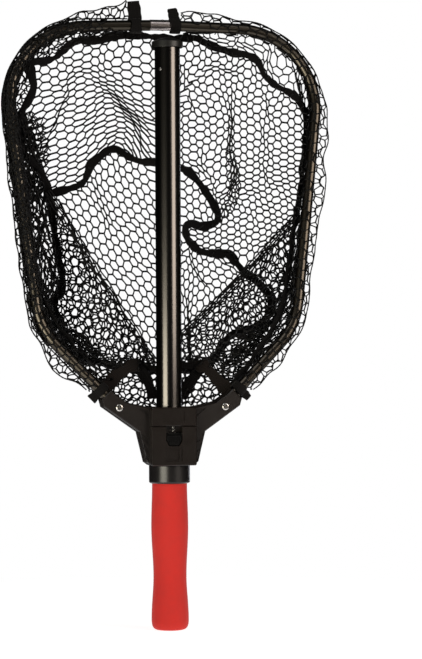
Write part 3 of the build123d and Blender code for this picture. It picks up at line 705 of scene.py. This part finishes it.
low_left_edge = through([(-20, 288), (-45, 289), (-75, 292), (-98, 300), (-112, 316)], 20)
lower_left = np.vstack([[(-120, 492), (-4, 300)], low_left_edge, seam_left[60:165, :2]])
lower_left_depth = depth_field([
    (-128, 484, 66), (-100, 440, 62), (-70, 392, 60), (-40, 340, 58), (-16, 298, 40),
    *[(x, y, z - 10) for x, y, z in seam_left[60:165:16]],
    (-80, 300, 22), (-50, 290, 18), (-20, 288, 20), (-70, 330, 40), (-90, 350, 50),
])
lower_left_crease = crease([(-106, 430), (-86, 392), (-66, 350), (-50, 315)], 9, 60, rise=0.3)
lower_left_net = card_net("net_lower_left", lower_left, lower_left_depth,
                          folded_back([(-13, 295), (-128, 486)], spread=0.93, tilt=0.3),
                          [lower_left_crease], angle=20, size=11.0, seed=21, unrest=1.0)
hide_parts("net_lower_wall")
low_right_edge = through([(16, 300), (40, 290), (70, 290), (92, 302)], 20)
high_right_edge = through([(104, 318), (122, 345), (131, 375), (137, 410), (140, 450)], 20)
lower_right = np.vstack([[(134, 468), (6, 338)], low_right_edge, high_right_edge])
lower_right_depth = depth_field([
    (140, 458, 40), (111, 420, 58), (72, 383, 66), (35, 345, 62), (15, 331, 58),
    (14, 300, 24), (50, 290, 18), (90, 300, 12), (104, 318, 14), (122, 345, 16), (131, 375, 18),
    (143, 440, 26), (60, 330, 36), (100, 370, 34),
])
lower_right_crease = crease([(124, 430), (104, 396), (84, 366), (62, 340), (40, 318)], 8, 60, rise=0.3)
card_net("net_lower_right", lower_right, lower_right_depth,
         folded_back([(142, 460), (14, 330)], spread=0.9, tilt=-0.25),
         [lower_right_crease], angle=8, size=11.0, seed=31, unrest=1.0)

# %% [markdown]
# The side walls run straight back from the hoop to the seam, so from the front they are seen almost
# on edge and their cells crowd together. Netting between two lines in space is laid by its distance
# along the lines and its share of the way across; loose netting gets more length than it has room for.

# %% Netting between two lines
def wall_net(name, near, far, length, width, size=cell, seed=1, unrest=2.0, angle=0.0, sag=(0, 0, 0),
             scale=1.0, wave=24.0):
    """Netting between two lines with the same number of points; sag moves its middle."""
    start, end, thick = honeycomb(length + 30, width + 30, size, angle)
    start, end = start + [length / 2, width / 2], end + [length / 2, width / 2]

    def lay(flat):
        place = np.clip(flat[:, 0] / length, 0, 1) * (len(near) - 1)
        share = np.clip(flat[:, 1] / width, 0, 1)
        low = np.floor(place).astype(int).clip(0, len(near) - 2)
        rest = (place - low)[:, None]
        a = near[low] * (1 - rest) + near[low + 1] * rest
        b = far[low] * (1 - rest) + far[low + 1] * rest
        spot = a * (1 - share)[:, None] + b * share[:, None]
        loose = np.sin(pi * share)[:, None] ** 0.7
        shake = np.stack([waves(flat[:, 0], flat[:, 1], seed + k, unrest, wave) for k in range(3)], 1)
        return spot + loose * (np.array(sag, float) + shake)

    middle = (start + end) / 2
    keep = (middle[:, 0] > 0) & (middle[:, 0] < length) & (middle[:, 1] > 0) & (middle[:, 1] < width)
    start, middle, end, thick = start[keep], middle[keep], end[keep], thick[keep]
    print(name, len(start), "strands")
    return rods(name, lay(start), lay(middle), lay(end), thick, scale=scale)


def in_space(line):
    """A tape line, given on the card with its depth, as places in space."""
    return at_depth(line[:, 0], line[:, 1], line[:, 2])


def along(line, low, high, count=120):
    """The stretch of a space line between two heights, from its top end down."""
    cut = line[(line[:, 2] >= low) & (line[:, 2] <= high)]
    return spaced(cut if cut[0, 2] > cut[-1, 2] else cut[::-1], count)


def behind_hoop(side, back=8.0, inner=0.0):
    """The hoop's line, moved back and towards the middle."""
    line = hoop_line(24.0, 20.3)
    way = np.gradient(line, axis=0)
    way /= np.linalg.norm(way, axis=1)[:, None]
    moved = line + inner * np.column_stack([way[:, 1], -way[:, 0]])
    return in_hoop_plane(moved, side, back)


print("the wall starts", round(length_of(behind_hoop(1))), "mm along the hoop")

# %% [markdown]
# Along a slanting fold the strands of many rows come to lie side by side, pulled nearly straight.
# Folded netting alone leaves a ragged edge there, so four cords are laid along each fold. Right of
# the handle a narrow pleat hangs from the upper panel, in crowded cells.

# %% Fold edges and the pleat
cords_in_fold = 4


def fold_edge(name, line, depth, inward, seed):
    """The cords that lie side by side along a fold, pulled straight."""
    near = with_depth(through(line, 120), depth)
    run = np.linspace(0, length_of(near), len(near))
    places = []
    for k in range(cords_in_fold):
        share = k / (cords_in_fold - 1)
        drift = np.column_stack([waves(run, 40.0 * k + 0 * run, seed + k, 0.7, 30) for _ in range(2)])
        moved = near.copy()
        moved[:, :2] += share * np.array(inward, float) + drift
        places.append(in_space(moved))
    start, end = (np.vstack([p[cut] for p in places]) for cut in (slice(None, -1), slice(1, None)))
    return rods(name, start, (start + end) / 2, end, np.zeros(len(start), bool), scale=0.95)


fold_edge("net_fold_left", [(-130, 484), (-106, 446), (-84, 410), (-60, 372), (-36, 333), (-14, 297)],
          55.0, (-6, -4), 35)
fold_edge("net_fold_right", [(141, 458), (108, 422), (76, 388), (44, 356), (14, 328)], 52.0, (4, -6), 37)
pleat_right = through([
    (67, 566), (73, 560), (72, 530), (79, 502), (80, 484), (74, 464), (60, 448), (58, 462), (65, 472),
    (66, 494), (63, 512), (66, 540)], 60)
pleat_depth = depth_field([(70, 560, 38), (70, 520, 42), (70, 480, 50), (60, 450, 56)])
card_net("net_pleat", pleat_right, pleat_depth, lambda x, y: (60 + 0.42 * (x - 60), 0.9 * y + 50, 0 * x),
         angle=24, size=10.5, seed=39, unrest=1.0, scale=0.9)
print("cords along each fold:", cords_in_fold)

# %% [markdown]
# The left wall is the longest and the slackest, so two more layers of loose netting lie over it at
# other angles, and a bunch is caught at its top. The right wall is short and has one loose layer.
# The narrow strip's far side is the seam tape, and above the seam a short line that goes on up.

# %% Left and right walls
seam_left_space, seam_right_space = in_space(seam_left), in_space(seam_right)
tail = in_space(np.array([(-134.0, 495, 66), (-140, 520, 56), (-147, 545, 46), (-158, 566, 34)]))
left_near = along(behind_hoop(-1, 8, 4), 292, 572)
left_far = along(np.vstack([seam_left_space[40:160], tail]), 292, 572)
left_wall = wall_net("net_left_wall", left_near, left_far, 290, 96, size=11.5, seed=41, unrest=2.6,
                     sag=(-3, 0, 0))
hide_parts("net_left_wall")
for k, (angle, width, sag) in enumerate(((17, 70, (-2, -5, 0)), (-24, 60, (-3, 6, 0)))):
    wall_net(f"net_left_slack_{k + 1}", left_near, left_far, 290, width, size=11.5, seed=47 + 4 * k,
             unrest=3.2, angle=angle, sag=sag)
upper_near, upper_far = along(left_near, 470, 572, 60), along(left_far, 470, 572, 60)
wall_net("net_left_bunch_1", upper_near, upper_far, 110, 60, size=9.5, seed=59, unrest=3.5, angle=30,
         sag=(-2, 0, 0))
right_near = along(behind_hoop(1, 8, 4), 292, 420)
right_far = along(seam_right_space[150:262], 292, 372)
right_wall = wall_net("net_right_wall", right_near, right_far, 140, 60, size=11.5, seed=51, unrest=2.6,
                      sag=(3, 0, 0))
wall_net("net_right_slack", right_near, right_far, 140, 46, size=11.5, seed=55, unrest=3.0, angle=22,
         sag=(4, -6, 0))
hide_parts("net_right_wall")
print("walls:", len(left_wall.data.polygons), "and", len(right_wall.data.polygons), "faces")

# %% [markdown]
# Where the hem tape, the seam tape and the left wall meet, the slack has nowhere to go and is
# crumpled. Two small layers at different angles look like that, and a seed each keeps them apart.

# %% Crumpled corner
crumple = through([(-160, 572), (-146, 566), (-136, 556), (-131, 535), (-131, 516), (-142, 510),
                   (-154, 530), (-162, 560)], 60)
crumple_depth = depth_field([(-155, 565, 34), (-130, 550, 48), (-128, 500, 62), (-145, 510, 50)])
for k in range(2):
    card_net(f"net_crumple_{k + 1}", crumple, crumple_depth,
             lambda x, y: (0.7 * x - 42, 0.75 * y + 131, 0 * x),
             angle=20 + 32 * k, size=10.0, seed=171 + 4 * k, unrest=2.4, scale=0.85)
print("crumple's outline:", round(length_of(crumple)), "mm")

# %% [markdown]
# ## Skirts and sleeves
#
# Between the hem tape and the hoop a strip of slack netting is left, in small crumpled cells. The
# hoop itself runs in a sleeve of netting that is wider than the tube, so on its outer side the
# strands stand off in flat loops. A section of the sleeve is the outline of a drop: round the tube,
# and two straight sides that meet at the drop's tip. On the left the real sleeve is bunched in
# layers that hide the tube, so two closer sleeves lie under the outer one there.

# %% Skirts between the hem and the hoop
hem_left_space, hem_right_space = in_space(hem_left), in_space(hem_right)
hem_low_space = in_space(hem_low_left)
left_inside, right_inside = behind_hoop(-1, 4, 5), behind_hoop(1, 4, 5)
skirts = (
    ("net_skirt_left", spaced(left_inside[left_inside[:, 2] > 560], 160),
     spaced(hem_left_space[18:], 160), 225),
    ("net_skirt_right", spaced(right_inside[right_inside[:, 2] > 300], 260),
     spaced(hem_right_space[8:], 260), 440),
    ("net_skirt_low", along(left_inside, 290, 560, 160), along(hem_low_space, 290, 560, 160), 290),
)
for k, (name, near, far, length) in enumerate(skirts):
    wall_net(name, near, far, length, 30, size=8.8, seed=61 + 5 * k, unrest=2.9, angle=8, sag=(0, 3, 0),
             scale=0.85)
    if k < 2:
        wall_net(name + "_under", near, far, length, 26, size=10, seed=71 + 5 * k, unrest=3.0, angle=35,
                 sag=(0, 9, 0), scale=0.85)


# %% Sleeves round the hoop
def sleeve(name, side, start_x, slack, seed, size=10.0, angle=12.0, snug=7.1, scale=0.85):
    """Netting wrapped round the hoop; slack is how far its tip stands off, by share of the length."""
    line = hoop_line(start_x, 32.5)
    length = length_of(line)
    way = np.gradient(line, axis=0)
    way /= np.linalg.norm(way, axis=1)[:, None]
    out = np.column_stack([-way[:, 1], way[:, 0]])
    girth = 2 * pi * snug + 8
    start, end, thick = honeycomb(length + 30, 1.6 * girth, size, angle)
    start, end = start + [length / 2, 0], end + [length / 2, 0]

    def lay(flat):
        run = np.clip(flat[:, 0] / length, 0, 1)
        place = run * (len(line) - 1)
        low = np.floor(place).astype(int).clip(0, len(line) - 2)
        rest = (place - low)[:, None]
        spot = line[low] * (1 - rest) + line[low + 1] * rest
        stand = np.interp(run, *slack)
        tip = snug + np.maximum(0.6, stand * (1 + 0.25 * waves(flat[:, 0], 0 * run, seed, 1.0, 40)))
        leave = np.arccos(snug / tip)
        straight = np.sqrt(tip ** 2 - snug ** 2)
        whole = straight + snug * (pi - leave)
        went = np.abs(flat[:, 1]) / (girth / 2) * whole
        on_side = np.clip(went / straight, 0, 1)
        arc = leave + np.maximum(went - straight, 0) / snug
        far_out = np.where(went < straight, tip + on_side * (snug * np.cos(leave) - tip),
                           snug * np.cos(arc))
        to_side = np.where(went < straight, on_side * snug * np.sin(leave), snug * np.sin(arc))
        to_side = to_side * np.sign(flat[:, 1]) + waves(flat[:, 0], flat[:, 1], seed + 3, 0.5, 12)
        flat_place = spot + out[low] * far_out[:, None]
        return in_hoop_plane(flat_place, side) - np.multiply.outer(to_side, hoop_back)

    middle = (start + end) / 2
    keep = (middle[:, 0] > 0) & (middle[:, 0] < length) & (np.abs(middle[:, 1]) <= girth / 2)
    start, middle, end, thick = start[keep], middle[keep], end[keep], thick[keep]
    edge_run = np.arange(2, length - 2, 4.0)
    edge = np.column_stack([edge_run, 0 * edge_run])
    start, end = np.vstack([start, edge[:-1]]), np.vstack([end, edge[1:]])
    middle = np.vstack([middle, (edge[:-1] + edge[1:]) / 2])
    thick = np.append(thick, np.zeros(len(edge) - 1, bool))
    print(name, len(start), "strands")
    return rods(name, lay(start), lay(middle), lay(end), thick, scale=scale)


left_slack = ([0, 0.05, 0.12, 0.2, 0.26, 0.32, 0.42, 0.55, 0.7, 0.8, 0.86, 0.91, 0.96, 1],
              [20, 14, 5.5, 1.5, 0.8, 1.2, 3, 4, 5, 4, 8, 12, 6, 3])
right_slack = ([0, 0.05, 0.12, 0.2, 0.28, 0.36, 0.45, 0.53, 0.6, 0.7, 0.85, 0.93, 1],
               [10, 7.5, 4, 1.5, 1, 4, 9, 11, 9, 5, 4, 8, 4])
left_start, right_start = 38.0, 18.5
left_sleeve = sleeve("net_sleeve_on_left", -1, left_start, left_slack, 5)
sleeve("net_sleeve_within", -1, left_start, ([0, 1], [0.7, 0.7]), 15, size=6.6, angle=33, snug=6.9)
sleeve("net_sleeve_under", -1, left_start, ([0, 1], [1.2, 1.2]), 17, size=7.4, angle=-20, snug=6.7)
right_sleeve = sleeve("net_sleeve_on_right", 1, right_start, right_slack, 6, size=12.5, scale=0.8)
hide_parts("net_sleeve_left")
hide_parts("net_sleeve_right")

# %% [markdown]
# ## Woven tape
#
# Tape is a flat ribbon that twists and creeps. Its mesh is a flattened section moved along the tape's
# line; the section stands across the line and turns a little as it goes. Its coordinates along and
# across are kept as a UV map, and the weave is drawn from them: fine ribs across the tape, and
# coarser ones along it.

# %% Weave
def woven(name, colour, ribs=900.0, rough=0.8, sheen=0.06):
    """Woven tape: ribs both ways and a mottled colour."""
    material = bpy.data.materials.new(name)
    material.use_nodes = True
    tree = material.node_tree
    join = tree.links.new
    shader = tree.nodes["Principled BSDF"]
    shader.inputs["Sheen Weight"].default_value = sheen
    shader.inputs["Sheen Roughness"].default_value = 0.5
    shader.inputs["Specular IOR Level"].default_value = 0.12
    lay = tree.nodes.new("ShaderNodeUVMap")
    lay.uv_map = "tape"
    rib = tree.nodes.new("ShaderNodeTexWave")
    rib.bands_direction = "Y"
    rib.inputs["Scale"].default_value = ribs / 6.28
    rib.inputs["Distortion"].default_value = 0.6
    rib.inputs["Detail"].default_value = 2.0
    cross = tree.nodes.new("ShaderNodeTexWave")
    cross.bands_direction = "X"
    cross.inputs["Scale"].default_value = ribs / 9.0
    cross.inputs["Distortion"].default_value = 0.4
    both = tree.nodes.new("ShaderNodeMath")
    both.operation = "ADD"
    noise = tree.nodes.new("ShaderNodeTexNoise")
    noise.inputs["Scale"].default_value = 260.0
    noise.inputs["Detail"].default_value = 4.0
    tint = tree.nodes.new("ShaderNodeMix")
    tint.data_type = "RGBA"
    tint.inputs[6].default_value = (*[0.55 * c for c in colour], 1)
    tint.inputs[7].default_value = (*[1.5 * c for c in colour], 1)
    spread = tree.nodes.new("ShaderNodeMapRange")
    spread.inputs["To Min"].default_value = rough - 0.1
    spread.inputs["To Max"].default_value = rough + 0.12
    height = tree.nodes.new("ShaderNodeBump")
    height.inputs["Strength"].default_value = 0.5
    height.inputs["Distance"].default_value = 0.0004
    join(lay.outputs["UV"], rib.inputs["Vector"])
    join(lay.outputs["UV"], cross.inputs["Vector"])
    join(rib.outputs["Fac"], both.inputs[0])
    join(cross.outputs["Fac"], both.inputs[1])
    join(lay.outputs["UV"], noise.inputs["Vector"])
    join(noise.outputs["Fac"], tint.inputs[0])
    join(noise.outputs["Fac"], spread.inputs["Value"])
    join(tint.outputs[2], shader.inputs["Base Color"])
    join(spread.outputs["Result"], shader.inputs["Roughness"])
    join(both.outputs[0], height.inputs["Height"])
    join(height.outputs["Normal"], shader.inputs["Normal"])
    return material


tape_cloth = woven("tape_black", (0.0022, 0.0020, 0.0022), sheen=0.03)
binding_cloth = woven("binding_black", (0.0032, 0.0027, 0.0027), sheen=0.05)
strap_cloth = woven("strap_brown", (0.0075, 0.0052, 0.0042), sheen=0.08)
print("woven:", tape_cloth.name, binding_cloth.name, strap_cloth.name)


# %% Ribbons
tape_sides = 16


def ribbon(name, line, width, thick, material, facing=None, twist=None, seed=1, creep=0.8,
           unrest=0.22):
    """Flat tape along a line in space; twist is its turn in degrees by share of its length."""
    count = len(line)
    run = np.linspace(0, length_of(line), count)
    way = np.gradient(line, axis=0)
    way /= np.linalg.norm(way, axis=1)[:, None]
    face = np.broadcast_to(-ahead if facing is None else np.asarray(facing, float), (count, 3))
    face = face - way * (face * way).sum(1)[:, None]
    face = face / np.linalg.norm(face, axis=1)[:, None]
    side = np.cross(way, face)
    share = np.linspace(0, 1, count)
    angle = np.radians(np.interp(share, *twist) if twist else np.zeros(count))
    angle = angle + waves(run, 0 * run, seed, unrest, 45)
    across_tape = side * np.cos(angle)[:, None] + face * np.sin(angle)[:, None]
    up_tape = face * np.cos(angle)[:, None] - side * np.sin(angle)[:, None]
    steps = np.linspace(0, 2 * pi, tape_sides, endpoint=False) + pi / tape_sides
    wide = width / 2 * np.sign(np.cos(steps)) * np.abs(np.cos(steps)) ** 0.55
    deep = thick / 2 * np.sign(np.sin(steps)) * np.abs(np.sin(steps)) ** 0.7
    swell = 1 + 0.16 * waves(run, 0 * run, seed + 7, 1.0, 26) + 0.08 * waves(run, 0 * run, seed + 8, 1.0, 8)
    curl = waves(run, 0 * run, seed + 9, creep, 34)
    points = (line[:, None] + across_tape[:, None] * (wide[None] * swell[:, None])[..., None]
              + up_tape[:, None] * (deep[None] + (curl[:, None] * (wide[None] / width * 2) ** 2))[..., None])
    k = np.arange(tape_sides)
    after = (k + 1) % tape_sides
    ring = np.arange(count - 1)[:, None] * tape_sides
    following = ring + tape_sides
    quads = np.stack([ring + k, ring + after, following + after, following + k], -1).reshape(-1, 4)
    faces = quads.tolist() + [k[::-1].tolist(), ((count - 1) * tape_sides + k).tolist()]
    piece = add_mesh(name, points.reshape(-1, 3), faces, material)
    uv = piece.data.uv_layers.new(name="tape")
    loops = np.zeros(len(piece.data.loops), int)
    piece.data.loops.foreach_get("vertex_index", loops)
    flat = np.column_stack([wide[loops % tape_sides] + width / 2, run[loops // tape_sides]]) * MM
    uv.data.foreach_set("uv", flat.ravel())
    print(name, round(run[-1]), "mm long")
    return piece


hem_line = spaced(np.vstack([hem_low_space[::-1][:-1], hem_left_space[::-1], hem_right_space]), 1000)
hem = ribbon("hem_tape", hem_line, 8.6, 1.8, tape_cloth, seed=81,
             twist=([0, 0.2, 0.3, 0.36, 0.42, 0.5, 0.58, 0.68, 0.8, 1],
                    [70, 60, 20, -25, 15, -10, 20, 25, 60, 40]))
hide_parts("net_hem_tape")
seam_line = spaced(np.vstack([seam_left_space, seam_right_space[6:]]), 900)
seam = ribbon("seam_tape", seam_line, 9.0, 3.4, tape_cloth, seed=91, unrest=0.3,
              twist=([0, 0.3, 0.5, 0.55, 0.62, 1], [20, 0, 10, -25, 10, -10]))
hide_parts("net_seam_tape")
tie_line = in_space(with_depth(through([(-164, 530), (-150, 515), (-139, 502), (-132, 484), (-129, 470)], 40),
                               lambda up: 30 + (530 - up) * 0.7))
ribbon("seam_tie", tie_line, 8.0, 2.6, tape_cloth, seed=97)

# %% [markdown]
# The bindings are short lengths of webbing folded round the sleeve's ends, with the two halves sewn
# together on the outer side. One line is enough for each: out from the tip, round the tube and back.
# The tape's face is turned outwards from the loop, place by place.

# %% Bindings round the sleeve's ends
def binding(name, side, spot, way, fin, width, seed, lean_by=0.0):
    """Webbing round the hoop at a place of its plane; way runs along the hoop, fin is the slack."""
    way = np.array(way, float) / np.linalg.norm(way)
    out = np.array([-way[1], way[0]])
    snug = 8.2
    turns = np.linspace(radians(28), radians(332), 40)
    loop_out = np.concatenate([[fin, fin * 0.62], snug * np.cos(turns), [fin * 0.62, fin]])
    loop_side = np.concatenate([[1.1, 1.3], snug * np.sin(turns), [-1.3, -1.1]])
    drift = np.maximum(loop_out, 0) * lean_by
    flat = np.array(spot, float) + np.multiply.outer(loop_out, out) + np.multiply.outer(drift, way)
    line = in_hoop_plane(flat, side) - np.multiply.outer(loop_side, hoop_back)
    line = through(line[::2], 120)
    tangent = np.gradient(line, axis=0)
    along_hoop = in_hoop_plane(np.array([way]), side)[0] - hoop_foot
    return ribbon(name, line, width, 1.5, binding_cloth,
                  facing=np.cross(tangent, along_hoop), seed=seed, creep=0.5, unrest=0.05)


left_x, right_x = 31, 14        # from the middle of the hoop's top
top_left = binding("binding_top_left", -1, (left_x, hoop_height - left_x * fall), (1, -fall), 27, 13.5,
                   101, 0.05)
top_right = binding("binding_top_right", 1, (right_x, hoop_height - right_x * fall), (1, -fall), 19, 10.0,
                    111, -0.22)
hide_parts("top_binding_left")
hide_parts("top_binding_right")
for side, name in ((-1, "left"), (1, "right")):
    low = binding(f"binding_low_{name}", side, np.array([screw_x, 0]) + 26.5 * arm, -arm, 15, 10, 121 + side)
    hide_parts(f"low_binding_{name}")

# %% [markdown]
# The throat is closed by straps: from each arm's tip a piece of webbing goes up towards the handle
# and another comes back down to the yoke, with a patch of netting showing between them.

# %% Throat straps
def throat_strap(name, points, width, seed, material=strap_cloth, twist=None):
    """A strap through a few places of the card, each with its depth."""
    line = in_space(through(points, 60))
    return ribbon(name, line, width, 1.7, material, seed=seed, twist=twist, unrest=0.12)


straps = [
    throat_strap("strap_left", [(-80, 256, 4), (-70, 266, 8), (-57, 280, 14), (-44, 289, 19), (-32, 291, 24),
                                (-24, 286, 30)], 14.5, 131, twist=([0, 0.5, 1], [-10, 8, 35])),
    throat_strap("strap_left_down", [(-36, 293, 23), (-29, 283, 23), (-22, 270, 23), (-18, 254, 20)],
                 12, 133, tape_cloth),
    throat_strap("strap_right", [(72, 256, 4), (60, 267, 8), (48, 280, 14), (38, 289, 19), (28, 290, 25),
                                 (22, 284, 30)], 14.5, 135, twist=([0, 0.5, 1], [10, -8, -35])),
    throat_strap("strap_right_down", [(38, 291, 22), (31, 282, 22), (22, 270, 22), (14, 254, 20)],
                 13, 137, tape_cloth),
    throat_strap("strap_back", [(-36, 292, 24), (-18, 287, 25), (0, 288, 25), (16, 290, 25), (34, 288, 24)],
                 7, 139, tape_cloth),
]
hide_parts("throat_strap")

# %% [markdown]
# Beside the straps the netting is gathered into the corners between the hoop and the throat, and
# inside each pair of straps a patch of it shows. Gathers are loose strips in two layers, and the
# patches are two layers of netting cut to a given outline.

# %% Gathers and patches at the throat
for k, (name, near, far) in enumerate((
        ("left", [(-124, 345, 26), (-108, 312, 22), (-92, 290, 16), (-74, 266, 8)],
         [(-92, 322, 34), (-76, 304, 30), (-62, 292, 24), (-50, 284, 18)]),
        ("right", [(124, 345, 18), (110, 318, 16), (92, 292, 12), (74, 266, 6)],
         [(86, 322, 32), (70, 304, 28), (58, 290, 22), (48, 282, 16)]))):
    near_line, far_line = (spaced(in_space(through(line, 40)), 80) for line in (near, far))
    for layer in range(2):
        wall_net(f"net_gather_{name}_{layer + 1}", near_line, far_line, 110, 44, size=10.5,
                 seed=151 + 7 * k + 3 * layer, unrest=3.0, angle=15 + 30 * layer, sag=(0, 5 * layer, 0))
throat_patch = np.array([(-82, 262), (-62, 300), (-14, 300), (-12, 240), (-44, 243), (-62, 252)], float)
throat_patch_right = np.array([(72, 262), (60, 300), (14, 300), (12, 240), (36, 243), (54, 252)], float)
throat_depth = depth_field([
    (-80, 270, 8), (-40, 290, 24), (0, 290, 28), (0, 245, 27), (40, 290, 24), (75, 270, 8),
    (34, 245, 18), (-40, 245, 18), (-65, 252, 10), (58, 252, 10)])
for k, patch in enumerate((throat_patch, throat_patch_right)):
    card_net(f"net_throat_{k + 1}", patch, throat_depth, lambda x, y: (0.8 * x, 0.9 * y + 27, 0 * x),
             angle=10 + 20 * k, size=9.0, seed=141 + 5 * k, unrest=2.2)
    card_net(f"net_throat_under_{k + 1}", patch, throat_depth, lambda x, y: (x, 0.8 * y + 54, 0 * x + 4),
             angle=35 + 20 * k, size=11.0, seed=144 + 5 * k, unrest=2.5)

# %% [markdown]
# ## The catch's spring
#
# A small wire spring stands between the thumb catch and the roof of its housing. It is the one rigid
# piece that changes shape: as the catch rises, its foot rises too and its head stays. Here the coil is
# built once, to fill the box of the frame's spring.

# %% The spring's coil
spring_low, spring_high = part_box("catch_spring")
wire_radius = 0.35
coil_radius = (spring_high.x - spring_low.x) / 2 / MM - wire_radius
coil_x, coil_y = ((low + high) / 2 / MM for low, high in zip(spring_low[:2], spring_high[:2]))
foot, head = spring_low.z / MM + wire_radius, spring_high.z / MM - wire_radius
turns, steps, sides = 7, 28, 8
wound = np.linspace(0, 2 * pi * turns, turns * steps + 1)
outward = np.column_stack([np.cos(wound), np.sin(wound), 0 * wound])
middle_of_wire = np.array([coil_x, coil_y, 0]) + coil_radius * outward
middle_of_wire[:, 2] = np.linspace(foot, head, len(wound))
round_wire = np.linspace(0, 2 * pi, sides, endpoint=False)[None, :, None]
wire = middle_of_wire[:, None] + wire_radius * (
    np.cos(round_wire) * outward[:, None] + np.sin(round_wire) * upwards)
faces = [(k * sides + a, k * sides + (a + 1) % sides, (k + 1) * sides + (a + 1) % sides, (k + 1) * sides + a)
         for k in range(len(wound) - 1) for a in range(sides)]
faces += [tuple(range(sides))[::-1], tuple(range(len(wound) * sides - sides, len(wound) * sides))]
spring = add_mesh("spring_coil", wire.reshape(-1, 3), faces, finishes["spring_steel"])
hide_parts("catch_spring")
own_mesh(spring)
